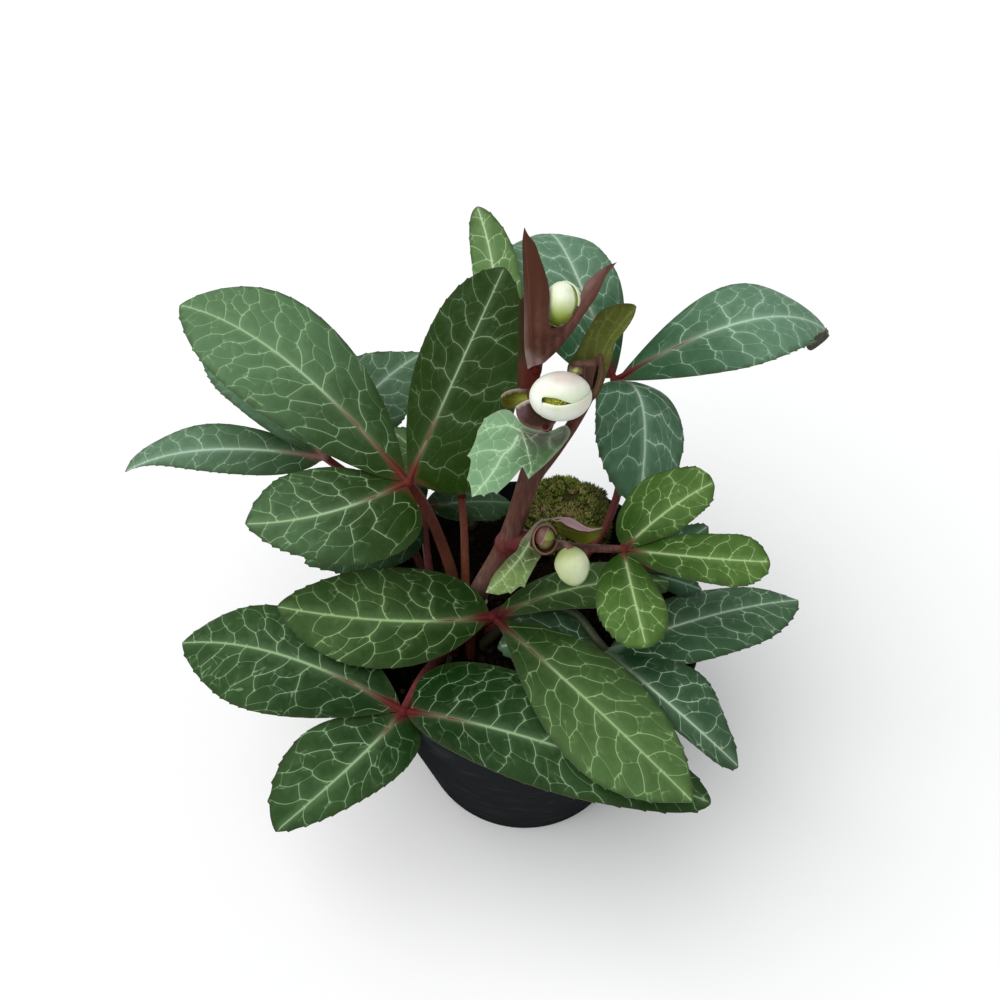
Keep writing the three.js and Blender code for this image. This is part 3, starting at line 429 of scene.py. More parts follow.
def outline(leaf, rng):
    """The margin from the foot round the tip and back, with its small forward-pointing teeth."""
    length = leaf["length"]
    lines = {}

    def width(side, u):
        return float(half_width(leaf, side, np.array([u]))[0])

    for side in (1, -1):
        starts = FIRST_TOOTH + (1 - FIRST_TOOTH) * (np.arange(TEETH) + 0.5 * rng.random(TEETH)) / TEETH
        bites = BITE * (0.55 + 0.9 * rng.random(TEETH + 1))
        line = [(0.0, width(side, 0.0))]
        line += [(u * length, width(side, u)) for u in np.arange(0.8 / length, starts[0], 1.2 / length)]
        for u0, u1, bite in zip(starts, [*starts[1:], 1.0], bites):
            line.append((u0 * length + 0.75, width(side, u0) + min(0.2, 0.01 * width(side, u0) + 0.05)))
            line.append((u0 * length + 0.8, width(side, min(u0 + 0.8 / length, 0.999)) * (1 - 0.6 * bite)))
            steps = max(2, int((u1 - u0) * length / 1.1))
            for f in np.arange(1, steps) / steps:
                u = u0 + (u1 - u0) * f
                if u * length >= u0 * length + 1.2:
                    line.append((u * length, width(side, u) * (1 - bite * (1 - f ** 1.6))))
        line = [(x, side * max(d, 0.12)) for x, d in line if x < length - 0.7]
        lines[side] = line + [(length - gap, side * max(width(side, 1 - gap / length), 0.1))
                              for gap in (0.4, 0.15)]
    return lines[-1] + [(length, 0.0)] + lines[1][::-1]


def spread_seeds(leaf, rng, side):
    """Centres of the vein meshes on one half, in rows along the midrib."""
    step, widest = leaf["cell"], max(leaf["half"])
    row_gap = step * 0.68
    seeds = []
    row, y = 0, row_gap * 0.5
    while y < widest + row_gap:
        jitter = 0.63 if row else 0.375
        for k in range(int((leaf["length"] + widest * 2) / step) + 2):
            x = k * step + step * (0.5 * (row % 2) + 0.3 * (side > 0)) - widest
            if x < leaf["length"] + step:
                seeds.append((x + step * jitter * (rng.random() - 0.5),
                              abs(y + row_gap * jitter * (rng.random() - 0.5))))
        y += row_gap
        row += 1
    return seeds


def dual_net(seeds, keep):
    """Corners and edges of the meshes round the seeds; `keep` drops or moves a corner."""
    tri = delaunay_2d_cdt([Vector(p) for p in seeds], [], [], 0, 1e-7)
    at, faces = [tuple(v) for v in tri[0]], tri[2]
    centres, pairs = [], {}
    for f, face in enumerate(faces):
        (ax, ay), (bx, by), (cx, cy) = (at[i] for i in face)
        d = 2 * (ax * (by - cy) + bx * (cy - ay) + cx * (ay - by))
        if abs(d) < 1e-6:
            d = 1e-6
        a2, b2, c2 = ax * ax + ay * ay, bx * bx + by * by, cx * cx + cy * cy
        centres.append(((a2 * (by - cy) + b2 * (cy - ay) + c2 * (ay - by)) / d,
                        (a2 * (cx - bx) + b2 * (ax - cx) + c2 * (bx - ax)) / d))
        for i in range(3):
            pairs.setdefault(tuple(sorted((face[i], face[(i + 1) % 3]))), []).append(f)
    ids, nodes, edges = {}, [], {}

    def node(p):
        key = (round(p[0], 1), round(p[1], 1))
        if key not in ids:
            ids[key] = len(nodes)
            nodes.append(p)
        return ids[key]

    for (i, j), both in pairs.items():
        if len(both) < 2:
            continue
        p, q = keep(centres[both[0]]), keep(centres[both[1]])
        if p is None or q is None or (p[1] == 0.0 and q[1] == 0.0):
            continue
        a, b = node(p), node(q)
        if a != b:
            edges[(min(a, b), max(a, b))] = (at[i], at[j])
    return nodes, edges


def fed_from(nodes, edges, roots, open_to, heading):
    """For each node the one it is fed from, and for each edge how many nodes it feeds."""
    near = {}
    flow_on = dict.fromkeys(edges, 1.0)
    for a, b in edges:
        near.setdefault(a, []).append(b)
        near.setdefault(b, []).append(a)
    parent = {}
    for _ in range(3):
        parent, order = {}, []
        heap = [(0.0, k, -1) for k in roots if k in near]
        while heap:
            c, k, came = heapq.heappop(heap)
            if k in parent:
                continue
            parent[k] = came
            order.append(k)
            for m in near[k]:
                if m in parent or not open_to[m]:
                    continue
                dx, dy = nodes[m][0] - nodes[k][0], nodes[m][1] - nodes[k][1]
                gap = math.hypot(dx, dy)
                lean = (dx * heading[0] + dy * heading[1]) / max(gap, 1e-6)
                key = (min(k, m), max(k, m))
                heapq.heappush(heap, (c + gap * (1.75 - lean) / flow_on[key] ** 0.6, m, k))
        feed = dict.fromkeys(order, 1.0)
        flow_on = dict.fromkeys(edges, 1.0)
        for k in reversed(order):
            if parent[k] >= 0:
                feed[parent[k]] += feed[k]
                flow_on[(min(k, parent[k]), max(k, parent[k]))] += feed[k]
    return parent, flow_on


def fed_net(nodes, edges, roots, inside, heading, spec, rng):
    """Lines of veins as (points, half-widths, strength); those that feed more meshes are stronger."""
    spots = np.array(nodes)
    parent, flow_on = fed_from(nodes, edges, roots, inside(spots[:, 0], spots[:, 1], -1.5), heading)
    lines = []
    scale = spec["vein_scale"]
    for (a, b), (s1, s2) in edges.items():
        flow = math.sqrt(max(flow_on[(a, b)] - 1, 0))
        p, q = arr(nodes[a]), arr(nodes[b])
        if parent.get(a) == b:
            p, q = q, p
        gap = np.linalg.norm(q - p)
        if gap < 0.3:
            continue
        count = max(2, int(gap / 1.25) + 1)
        f = np.linspace(0, 1, count + 1)
        normal = arr((-(q - p)[1], (q - p)[0])) / gap
        sway = (rng.random() - 0.5) * 0.26 * gap * np.sin(np.pi * f)
        points = p + (q - p) * f[:, None] + normal * sway[:, None]
        good = inside(points[:, 0], points[:, 1], 0.12)
        keep = count + 1 if good.all() else int(np.argmin(good))
        if keep < 2:
            continue
        points = points[:keep]
        wide = min(0.15 + 0.05 * flow, 0.44) * scale
        lines.append((points, np.full(keep, wide), min(1.0, 0.36 + 0.15 * flow)))
        if gap > 2.2 and keep > 2 and rng.random() < 0.6:
            k = 1 + int(rng.random() * (keep - 2))
            goal = points[k] + (arr(s1 if rng.random() < 0.5 else s2) - points[k]) * (0.3 + 0.4 * rng.random())
            goal = goal + rng.normal(0, 0.3, 2)
            spur = np.stack([points[k], (points[k] + goal) / 2 + rng.normal(0, 0.2, 2), goal])
            if inside(spur[:, 0], spur[:, 1], 0.4).all():
                lines.append((spur, np.array([0.16, 0.14, 0.1]) * scale, 0.32))
    return lines


def blade_net(leaf, inside, rng):
    """The net of both halves of a blade; each half is grown from the midrib outwards."""
    lines = []
    for side in (1, -1):
        seeds = spread_seeds(leaf, rng, side)
        mirrored = [(x, -y) for x, y in seeds if y < leaf["cell"] * 1.5]
        nodes, edges = dual_net(seeds + mirrored, lambda p: None if p[1] < -0.2 else (p[0], max(p[1], 0.0)))
        nodes = [(x + LEAN * y + 0.012 * y * y, y) for x, y in nodes]
        edges = {k: tuple((x + LEAN * y, y) for x, y in both) for k, both in edges.items()}
        roots = [k for k, p in enumerate(nodes) if p[1] < 0.25]

        def on_half(x, y, slack):
            return inside(x, y * side, slack) & (y > -0.01)

        half = fed_net(nodes, edges, roots, on_half, (0.66, 0.75), leaf, rng)
        lines += [(points * (1, side), wide, strength) for points, wide, strength in half]
    return lines


def distances(points, a, b):
    """Distance of each point to each segment a-b."""
    ab = b - a
    rel = points[:, None, :] - a[None]
    t = np.clip(np.sum(rel * ab, axis=2) / np.maximum(np.sum(ab * ab, axis=1), 1e-9), 0, 1)
    gap = rel - ab * t[..., None]
    return np.sqrt(np.sum(gap * gap, axis=2))


def vein_marks(at, starts, ends, wides, strengths):
    """For each point the strength of its vein, the distance to the nearest one, and the glow beside it."""
    vein, gap, glow = [], [], []
    for k in range(0, len(at), 1000):
        d = distances(at[k:k + 1000], starts, ends)
        vein.append((strengths * np.clip(1 - d / wides, 0, 1)).max(axis=1))
        gap.append((d / np.sqrt(strengths)).min(axis=1))
        glow.append((strengths ** 3 * np.exp(-d / (1.3 * wides + 0.15))).max(axis=1))
    return np.concatenate(vein), np.concatenate(gap), np.concatenate(glow)


def both_sides(faces, count):
    """Faces of a thin closed skin whose lower points follow its `count` upper ones."""
    sides = np.concatenate([faces[:, [0, 1]], faces[:, [1, 2]], faces[:, [2, 0]]])
    ways = {(int(i), int(j)) for i, j in sides}
    border = sorted((i, j) for i, j in ways if (j, i) not in ways)
    upper = [tuple(f) for f in faces]
    lower = [(f[0] + count, f[2] + count, f[1] + count) for f in faces]
    return upper + lower + [(i, i + count, j + count, j) for i, j in border]


def skin(shell, spec, loop, ribs, lines, inside, clear, place, marks, rng):
    """A closed thin skin inside the loop with its veins, added to the shell.

    ribs and lines are veins; place(x, y) gives points and normals of the upper face, clear(x, y) the distance
    to the margin, and marks(x, y, vein, gap) the named point values."""
    points, edges = [tuple(map(float, p)) for p in loop], [(i, (i + 1) % len(loop)) for i in range(len(loop))]
    starts, ends, wides, strengths = [], [], [], []
    for number, (line, half, strength) in enumerate(ribs + lines):
        first = len(points)
        points += [tuple(p) for p in line]
        edges += [(k, k + 1) for k in range(first, len(points) - 1)]
        across = unit(np.gradient(line, axis=0))[:, ::-1] * (-1, 1)
        for factor in ((-2, -1, -0.5, 0.5, 1, 2) if number < len(ribs) else (-1, 1)):
            beside = line + across * (half * factor)[:, None]
            points += [tuple(p) for p in beside[inside(beside[:, 0], beside[:, 1], 0.2)]]
        starts.append(line[:-1])
        ends.append(line[1:])
        wides.append(half[:-1])
        strengths.append(np.full(len(line) - 1, strength))
    starts, ends = np.concatenate(starts), np.concatenate(ends)
    wides, strengths = np.concatenate(wides), np.concatenate(strengths)
    low, high = np.min(loop, axis=0), np.max(loop, axis=0)
    step = spec["grid"]
    gx, gy = np.meshgrid(np.arange(low[0], high[0], step), np.arange(low[1], high[1], step))
    grid = np.stack([gx.ravel(), gy.ravel()], 1) + rng.normal(0, 0.13 * step, (gx.size, 2))
    grid = grid[inside(grid[:, 0], grid[:, 1], 0.9)]
    if len(grid):
        grid = grid[distances(grid, starts, ends).min(axis=1) > 0.35 * step]
        points += [tuple(p) for p in grid]
    made = delaunay_2d_cdt([Vector(p) for p in points], edges, [], 1, 0.02)
    at = np.array([tuple(v) for v in made[0]])
    faces = np.array([list(f) for f in made[2] if len(f) == 3])
    used = np.unique(faces)
    renumber = -np.ones(len(at), int)
    renumber[used] = np.arange(len(used))
    at, faces = at[used], renumber[faces]
    a, b, c = at[faces[:, 0]], at[faces[:, 1]], at[faces[:, 2]]
    area = (b[:, 0] - a[:, 0]) * (c[:, 1] - a[:, 1]) - (b[:, 1] - a[:, 1]) * (c[:, 0] - a[:, 0])
    faces[area < 0] = faces[area < 0][:, ::-1]

    vein, gap, glow = vein_marks(at, starts, ends, wides, strengths)
    if "fade" in spec:
        vein, glow = spec["fade"](at[:, 0], vein, glow)
    x, y = at[:, 0], at[:, 1]
    margin = clear(x, y)
    rim = smooth(0.0, 2.2, margin)
    p, n = place(x, y)
    lift = spec["quilt"] * (1 - np.exp(-(gap / 1.9) ** 2)) * rim - 0.1 * vein
    values = marks(x, y, vein, gap)
    rib = values.pop("rib", 0.0)
    top = p + n * lift[:, None]
    bottom = p + n * (lift - spec["thick"] * (0.55 + 0.45 * rim) - (rib + 0.18 * vein) * rim)[:, None]
    values = {"vein": vein, "glow": glow, "edge": smooth(0.75, 0.1, margin), **values}
    shell.add(np.concatenate([top, bottom]), both_sides(faces, len(at)), under=np.repeat([0.0, 1.0], len(at)),
              **{key: np.tile(np.broadcast_to(value, (len(at),)), 2) for key, value in values.items()})


def blade(shell, leaf):
    """One leaflet along its midrib."""
    leaf = {**LEAFLET, **leaf}
    rng = np.random.default_rng(1000 + leaf["seed"])
    length = leaf["length"] = run_length(midline(leaf, np.linspace(0, 1, 60))[0])

    def clear(x, y):
        return half_width(leaf, np.where(y >= 0, 1, -1), x / length) - np.abs(y)

    def inside(x, y, slack):
        return (clear(x, y) > slack) & (x > 1 + slack) & (x < length - 0.6 - slack)

    def fade(x, vein, glow):
        """Veins are dimmer towards the foot of a blade, and the pale zone along them fades there."""
        u = x / length
        vein = vein * leaf["dim"] * (0.6 + 0.4 * smooth(0.1, 0.6, u))
        return vein, glow * leaf["dim"] * smooth(-0.05, 0.55, u)

    def marks(x, y, vein, gap):
        u, beside = x / length, np.abs(y)
        reach, stain = leaf["red_to"], leaf["stain"]
        along_rib = smooth(reach, reach * 0.55, u) * np.exp(-(y / (0.62 - 0.62 * u)) ** 2)
        at_hub = 0.9 * smooth(8.0 * stain, 2.5 * stain, x) * smooth(2.8 * stain, 0.9 * stain, beside)
        red = np.maximum(along_rib, at_hub)
        # The tone falls towards the foot of each blade: painted shade of the leaves round the crown.
        return dict(red=red, tone=leaf["tone"] * smooth(-0.15, 0.75, u),
                    pale=0.4 * smooth(0.45, 0.05, u) * (1 - red) * np.exp(-(y / 0.9) ** 2),
                    rib=0.75 * (1 - u) * np.exp(-(y / (1.6 - 0.8 * u)) ** 2))

    leaf["fade"] = fade
    loop = outline(leaf, rng)
    mid_x = np.arange(1.2, length - 1.0, 1.2)
    mid_w = (0.28 + 0.62 * (1 - mid_x / length)) * leaf["vein_scale"]
    midrib = (np.stack([mid_x, np.zeros_like(mid_x)], 1), mid_w, 1.0)
    net = blade_net(leaf, inside, rng)
    skin(shell, leaf, loop, [midrib], net, inside, clear, lambda x, y: blade_surface(leaf, x, y), marks, rng)


# ------------------------------------------------------------------ stalks and balls
def curve_points(path, steps):
    """Even steps along a centripetal curve through the points."""
    pts = [arr(p) for p in path]
    dense = []
    for i in range(len(pts) - 1):
        p1, p2 = pts[i], pts[i + 1]
        p0 = pts[i - 1] if i else 2 * pts[0] - pts[1]
        p3 = pts[i + 2] if i + 2 < len(pts) else 2 * pts[-1] - pts[-2]
        d0, d1, d2 = (max(np.linalg.norm(b - a) ** 0.5, 1e-4) for a, b in ((p0, p1), (p1, p2), (p2, p3)))
        t1 = ((p1 - p0) / d0 - (p2 - p0) / (d0 + d1) + (p2 - p1) / d1) * d1
        t2 = ((p2 - p1) / d1 - (p3 - p1) / (d1 + d2) + (p3 - p2) / d2) * d1
        for t in np.linspace(0, 1, 80, endpoint=i == len(pts) - 2):
            dense.append(p1 + t1 * t + (-3 * p1 + 3 * p2 - 2 * t1 - t2) * t ** 2
                         + (2 * p1 - 2 * p2 + t1 + t2) * t ** 3)
    dense = np.array(dense)
    run = np.concatenate([[0], np.cumsum(np.linalg.norm(np.diff(dense, axis=0), axis=1))])
    want = np.linspace(0, run[-1], steps + 1)
    return np.stack([np.interp(want, run, dense[:, k]) for k in range(dense.shape[1])], 1)


def stepped_curve(path, step, least):
    """The same with steps of about `step`, and at least `least` of them."""
    return curve_points(path, max(least, int(run_length(path) / step)))


def tube(shell, centres, radii, sides=20, ridge=0.0, **values):
    """A closed round stalk along the centres; `ridge` gives it shallow lengthwise ridges.

    A point value is a number, or a function of the share of the way along."""
    centres = arr(centres)
    count = len(centres)
    way = np.linspace(0, 1, count)
    radii = np.interp(way, np.linspace(0, 1, len(radii)), radii)
    heading = unit(np.gradient(centres, axis=0))
    normal = np.cross(heading[0], (0.0, 1.0, 0.0))
    if np.linalg.norm(normal) < 0.1:
        normal = np.cross(heading[0], (1.0, 0.0, 0.0))
    angle = np.linspace(0, 2 * math.pi, sides, endpoint=False)
    rings = []
    for k in range(count):
        normal = unit(normal - heading[k] * np.dot(normal, heading[k]))
        side = np.cross(heading[k], normal)
        r = radii[k] * (1 + ridge * np.cos(angle * 5))
        rings.append(centres[k] + np.outer(np.cos(angle) * r, normal) + np.outer(np.sin(angle) * r, side))
    along = np.append(np.repeat(way, sides), (0, 1))
    values = {key: value(along) if callable(value) else value for key, value in values.items()}
    verts = np.concatenate(rings + [centres[:1], centres[-1:]])
    shell.add(verts, ring_faces(count, sides), along=along, **values)


def ball(shell, centre, axis, half, rings=14, sides=20, bumps=0.0, seed=0, **values):
    """An egg with its long axis along `axis`."""
    axis = unit(arr(axis))
    across = unit(np.cross(axis, (0.3, 1.0, 0.2)))
    t = np.linspace(0, math.pi, rings + 1)[1:-1]
    f = np.linspace(0, 2 * math.pi, sides, endpoint=False)
    t, f = np.append(np.repeat(t, sides), (0, math.pi)), np.append(np.tile(f, rings - 1), (0, 0))
    rough = 1 + bumps * (np.sin(3 * f + seed) * np.sin(4 * t + seed) + 0.5 * np.sin(7 * f + 5 * t + seed))
    ways = np.stack([np.sin(t) * np.cos(f), np.sin(t) * np.sin(f), np.cos(t)], 1) * rough[:, None]
    verts = arr(centre) + (ways * arr(half)) @ np.stack([across, np.cross(axis, across), axis])
    shell.add(verts, ring_faces(rings - 1, sides, downward=True), **values)


def midrib_ridge(shell, leaf, reach, radius):
    """The raised red foot of a midrib, half sunk in its blade."""
    fade = np.linspace(0, 1, 26)
    p, _, n = midline({**LEAFLET, **leaf}, reach * fade)
    p[0] = arr(leaf["from"])
    sink = -0.15 - 0.75 * radius * fade
    tube(shell, p + n * sink[:, None], radius * (1 - 0.72 * fade), 12, red=lambda a: (1 - a) ** 0.6,
         vein=lambda a: 0.9 * a)


# ------------------------------------------------------------------ bracts as bent sheets
# Bracts and buds face up and to the front. They are drawn as the camera sees them, which stands at VIEWPOINT.
VIEWPOINT = arr((-11.0, -199.0, 379.0))
UP, FACE = unit(arr((0, 0.731, 0.682))), unit(arr((0, -0.682, 0.731)))
SHEET = dict(quilt=0.0, thick=0.5, cell=None, vein_scale=1.0)


def sheet(shell, spec):
    """A bract of any outline, drawn flat on a plane that faces up and to the front, then bent by a formula.

    Each of its `edges` runs on from the last point of the one before, with a corner there; its `ribs` are the
    main veins, each a path with its half-width and strength, and the bend is its height towards VIEWPOINT."""
    spec = {**SHEET, **spec}
    rng = np.random.default_rng(2000 + spec["seed"])
    loop = []
    for before, edge in zip([spec["edges"][-1]] + spec["edges"], spec["edges"]):
        loop += [tuple(p) for p in stepped_curve([before[-1], *edge], 0.8, 2)[:-1]]
    border = np.array(loop)
    after = np.roll(border, -1, axis=0)
    low, high = border.min(axis=0), border.max(axis=0)

    def clear(x, y):
        return distances(np.stack([x, y], 1), border, after).min(axis=1)

    def inside(x, y, slack):
        (ax, ay), (bx, by) = border.T, after.T
        between = (ay > y[:, None]) != (by > y[:, None])
        with np.errstate(divide="ignore", invalid="ignore"):
            cross = ax + (y[:, None] - ay) / (by - ay) * (bx - ax)
        within = (between & (x[:, None] < cross)).sum(axis=1) % 2 == 1
        away = clear(x, y)
        return np.where(within, away > slack, away < -slack)

    ribs = []
    for path, half, strength in spec["ribs"]:
        line = stepped_curve(path, 1.2, 3)
        line = line[inside(line[:, 0], line[:, 1], 0.15)]
        ribs.append((line, np.linspace(half, 0.35 * half, len(line)), strength))
    lines = []
    if spec["cell"]:
        cell = spec["cell"]
        seeds = [(x + cell * 0.3 * rng.normal(), y + cell * 0.3 * rng.normal())
                 for i, y in enumerate(np.arange(low[1] - cell, high[1] + cell, cell * 0.8))
                 for x in np.arange(low[0] - cell + 0.5 * cell * (i % 2), high[0] + cell, cell)]
        nodes, edges = dual_net(seeds, lambda p: (p[0], p[1] + 1e-6))
        spots = np.array(nodes)
        trunk = np.concatenate([line for line, _, _ in ribs])
        gap = np.linalg.norm(spots[:, None] - trunk[None], axis=2)
        roots = [k for k in np.argsort(gap.min(axis=1)) if gap[k].min() < 0.3 * cell
                 and inside(spots[k:k + 1, 0], spots[k:k + 1, 1], 0.2)[0]]
        for k in roots:
            joint = trunk[gap[k].argmin()]
            lines.append((np.stack([joint, (joint + spots[k]) / 2, spots[k]]), np.full(3, 0.2), 0.6))
        lines += fed_net(nodes, edges, roots, inside, (0, 0), spec, rng)

    right, bend = arr((1.0, 0, 0)), spec["bend"]

    def place(x, y):
        p = arr(spec["at"]) + np.outer(x, right) + np.outer(y, UP)
        slope_x = (bend(x + 0.2, y) - bend(x - 0.2, y)) / 0.4
        slope_y = (bend(x, y + 0.2) - bend(x, y - 0.2)) / 0.4
        normal = unit(FACE - np.outer(slope_x, right) - np.outer(slope_y, UP))
        return p + unit(VIEWPOINT - p) * bend(x, y)[:, None], normal

    skin(shell, spec, loop, ribs, lines, inside, clear, place, spec["marks"], rng)


# ------------------------------------------------------------------ basal leaves
def stalk_foot(ring):
    """Where a leaf's stalk leaves the mix, on a ring round the crown."""
    t = math.radians(ring)
    return CROWN[0] + math.cos(t) * CROWN_RING, CROWN[1] + math.sin(t) * CROWN_RING


def rooted_path(x, y, path, steps):
    """Straight up out of the mix at x, y, then on through the points."""
    foot = [(x, y, z) for z in np.linspace(SOIL_Z - HOLE_DEPTH, SOIL_Z + SOIL_RISE, 5)]
    return np.concatenate([foot, curve_points([(x, y, SOIL_Z + SOIL_RISE + 1.5), *path], steps)])


# The bluish greens of the rear leaves, rear_right and far_left, are partly their own colour and partly a
# painted sheen of the sky.
GREENS = {
    "upper_left": dict(dark=(0.011, 0.031, 0.001), light=(0.094, 0.183, 0.084), vein=(0.34, 0.5, 0.28),
                       red=(0.12, 0.024, 0.018)),
    "centre": dict(dark=(0.006, 0.024, 0.001), light=(0.076, 0.147, 0.045), vein=(0.3, 0.45, 0.2),
                   red=(0.075, 0.009, 0.011)),
    "front": dict(dark=(0.004, 0.022, 0.002), light=(0.056, 0.118, 0.04), vein=(0.27, 0.42, 0.22)),
    "right": dict(dark=(0.006, 0.03, 0.009), light=(0.063, 0.134, 0.067), vein=(0.44, 0.6, 0.42),
                  red=(0.1, 0.15, 0.09)),
    "rear_right": dict(dark=(0.01, 0.05, 0.014), light=(0.115, 0.22, 0.135), vein=(0.4, 0.56, 0.42), glow=0.8),
    "far_left": dict(dark=(0.02, 0.055, 0.015), light=(0.1, 0.185, 0.105), vein=(0.36, 0.5, 0.38), glow=0.8,
                     red=(0.2, 0.1, 0.085)),
    "rear": dict(dark=(0.03, 0.085, 0.006), light=(0.13, 0.23, 0.085), vein=(0.5, 0.66, 0.38)),
    "inner_left": dict(dark=(0.008, 0.03, 0.008), light=(0.058, 0.12, 0.054), vein=(0.18, 0.32, 0.18)),
    "inner_right": dict(dark=(0.008, 0.035, 0.014), light=(0.05, 0.115, 0.06), vein=(0.24, 0.38, 0.26)),
}
SLOTS = {"rear_right": "leaf_bluish", "far_left": "leaf_bluish", "inner_left": "leaf_bluish",
         "inner_right": "leaf_bluish", "rear": "leaf_light"}
STALK = dict(low=(0.11, 0.03, 0.018), high=(0.095, 0.02, 0.018), girth=1.0, blush=0.75)
STALK_LOOK = {
    "upper_left": dict(low=(0.12, 0.045, 0.02), high=(0.1, 0.025, 0.016), girth=1.3),
    "rear": dict(low=(0.17, 0.055, 0.025), high=(0.2, 0.06, 0.035)),
    "inner_left": dict(low=(0.1, 0.03, 0.02), high=(0.1, 0.02, 0.02)),
    "right": dict(low=(0.04, 0.032, 0.016), high=(0.035, 0.045, 0.022), blush=0.1),
}


SCORCHED_TIP = dict(
    seed=12, at=(126, 93, 167.5), thick=0.6, grid=1.2,
    bend=lambda x, y: 0.7 - 2.54 * x - 0.94 * y - 0.04 * x * x - 0.05 * x * y - 0.22 * y * y,
    marks=lambda x, y, vein, gap: dict(scorch=1.0),
    edges=[[(-8.6, -3.6), (-7.4, -2.6), (-6.6, -2.9), (-5.6, -1.1), (-4.6, -0.9), (-4.2, 0.1), (-3.0, 0.3),
            (-1.7, 1.0), (-1.0, 2.6)],
           [(-0.5, 2.9), (0.4, 2.0), (0.8, 0.2), (-0.6, -1.9), (-2.6, -3.8), (-4.8, -5.5), (-6.4, -6.6),
            (-7.6, -7.1), (-8.7, -6.8), (-9.2, -6.0), (-9.6, -4.4)]],
    ribs=[([(-8.5, -5.5), (-4, -2), (0, 1)], 0.15, 0.1)])


def add_leaflets(shell, hub, leaflets, seed, rib_reach, rib_radius):
    """The leaflets of a leaf and their midribs, fused at its hub."""
    for i, leaflet in enumerate(leaflets):
        leaflet = {**leaflet, "from": hub, "seed": seed + i}
        blade(shell, leaflet)
        midrib_ridge(shell, leaflet, rib_reach, rib_radius)
    ball(shell, hub, (0, 0, 1), HUB_HALF, red=1.0)


def make_leaf(number, name, leaf):
    shell = Shell()
    add_leaflets(shell, leaf["hub"], leaf["leaflets"], 3 * number + 1, 0.3, 1.25)
    if name == "rear_right":
        sheet(shell, SCORCHED_TIP)
    shell.make("leaf_" + name, leaf_material("leaf_" + name, **GREENS[name]), SLOTS.get(name, "leaf_green"))


def make_stalk(name, leaf):
    look = {**STALK, **STALK_LOOK.get(name, {})}
    low, high = look["low"], look["high"]
    path = rooted_path(*stalk_foot(leaf["ring"]), [*leaf["via"], leaf["hub"]], 60)
    shell = Shell()
    tube(shell, path, [look["girth"] * r for r in STALK_R], 24, ridge=0.035,
         red=lambda a: look["blush"] * smooth(0.88, 1.0, a))
    material = stalk_material("stalk_" + name, low, high, tuple(c * 1.7 for c in high))
    shell.make("stalk_" + name, material, "leaf_stalk")


# ------------------------------------------------------------------ flower stem and its leaf
def make_stem():
    shell = Shell()
    path = rooted_path(*CROWN, [(-20.5, -4.8, 115), STEM_NODE, STEM_TOP], 110)
    way = np.linspace(0, 1, len(path))
    swelling = 0.7 * np.exp(-((way - 0.53) / 0.022) ** 2)
    radii = np.interp(way, np.linspace(0, 1, len(STEM_R)), STEM_R) * 0.98 + swelling - 0.25
    tube(shell, path, radii, 40, ridge=0.02, red=lambda a: 0.75 * np.exp(-((a - 0.525) / 0.04) ** 2))
    for branch in STEM_BRANCHES:
        look = dict(branch)
        tube(shell, curve_points(look.pop("path"), look.pop("steps")), **look)
    material = stalk_material("flower_stem", (0.1, 0.058, 0.041), (0.082, 0.028, 0.02), (0.19, 0.1, 0.08), 0.5)
    shell.make("flower_stem", material, "flower_stem")


def make_stem_leaf():
    shell = Shell()
    shared = dict(red_to=0.14, stain=0.6, cell=7.6, tone=0.7, vein_scale=0.8)
    add_leaflets(shell, STEM_LEAF_HUB, [{**leaflet, **shared} for leaflet in STEM_LEAF], 40, 0.2, 0.95)
    material = leaf_material("leaf_on_stem", (0.012, 0.045, 0.0), (0.08, 0.16, 0.036), (0.37, 0.53, 0.22),
                             red=(0.11, 0.025, 0.02))
    shell.make("leaf_on_stem", material, "leaf_light")


# ------------------------------------------------------------------ bracts
def right_of(x, y, line):
    """How far points lie to the right of a line, given by a point on it and its direction."""
    (x0, y0), (way_x, way_y) = line
    return (x - x0) * way_y - (y - y0) * way_x


TALL_RIB = (5, 5), (0.588, 0.808)
OLIVE_RIB = (-2.4, -5.1), (0.463, 0.886)
SIDE_RIB = (-0.2, 0.5), (-0.643, -0.766)


def tall_bend(x, y):
    """The V of the tall bract bulges in front of its bud; its left lobe then leans back."""
    rise = 12.4 * np.sin(np.clip(y / 12, 0, 1) * math.pi / 2)
    left = smooth(6.5, 3.4, x)
    wrap = 0.07 * np.minimum(x - 3.7, 0) ** 2 * smooth(0, 8, y)
    across = right_of(x, y, TALL_RIB)
    out = np.hypot(x - 5, y - 11) * smooth(9, 13, y)
    crease = 0.5 * np.maximum(0, x - 4.2 + 0.17 * (11.2 - y)) * smooth(13, 9, y)
    return (rise - crease - left * (wrap + 13 * smooth(20, 42, y))
            - (1 - left) * (2.8 * smooth(4, 14, out) + 0.22 * np.maximum(across, 0) ** 2 * smooth(9, 14, y)))


def tall_marks(x, y, vein, gap):
    streak = 0.5 + 0.5 * np.sin(x * 2.1 + 1.5 * np.sin(y * 0.12))
    across = right_of(x, y, TALL_RIB)
    rims = smooth(-3.0, -3.7, x) * smooth(30, 4, y) + smooth(6, 10, x) * smooth(1.5, 2.6, np.abs(across))
    # The tone rises over the right lobe: a painted highlight. The streaks are the bract's own colour.
    return dict(pale=np.clip(0.8 * smooth(5.0, 0.0, y + 0.5 * x) * (0.5 + 0.5 * streak) + 0.3 * rims, 0, 1),
                tone=0.05 + 0.6 * streak * smooth(34, 5, y) + 0.6 * smooth(6, 13, x))


def side_green_bend(x, y):
    """Folded along its midrib, coming forward to its tip and over the small bud at its top."""
    beside = right_of(x, y, SIDE_RIB)
    slope = np.where(y < 0, -0.46 * y, 0.2 * y)
    return 5.0 + slope - np.where(beside > 0, 0.7 * beside, -0.2 * beside) * smooth(2, -3, y)


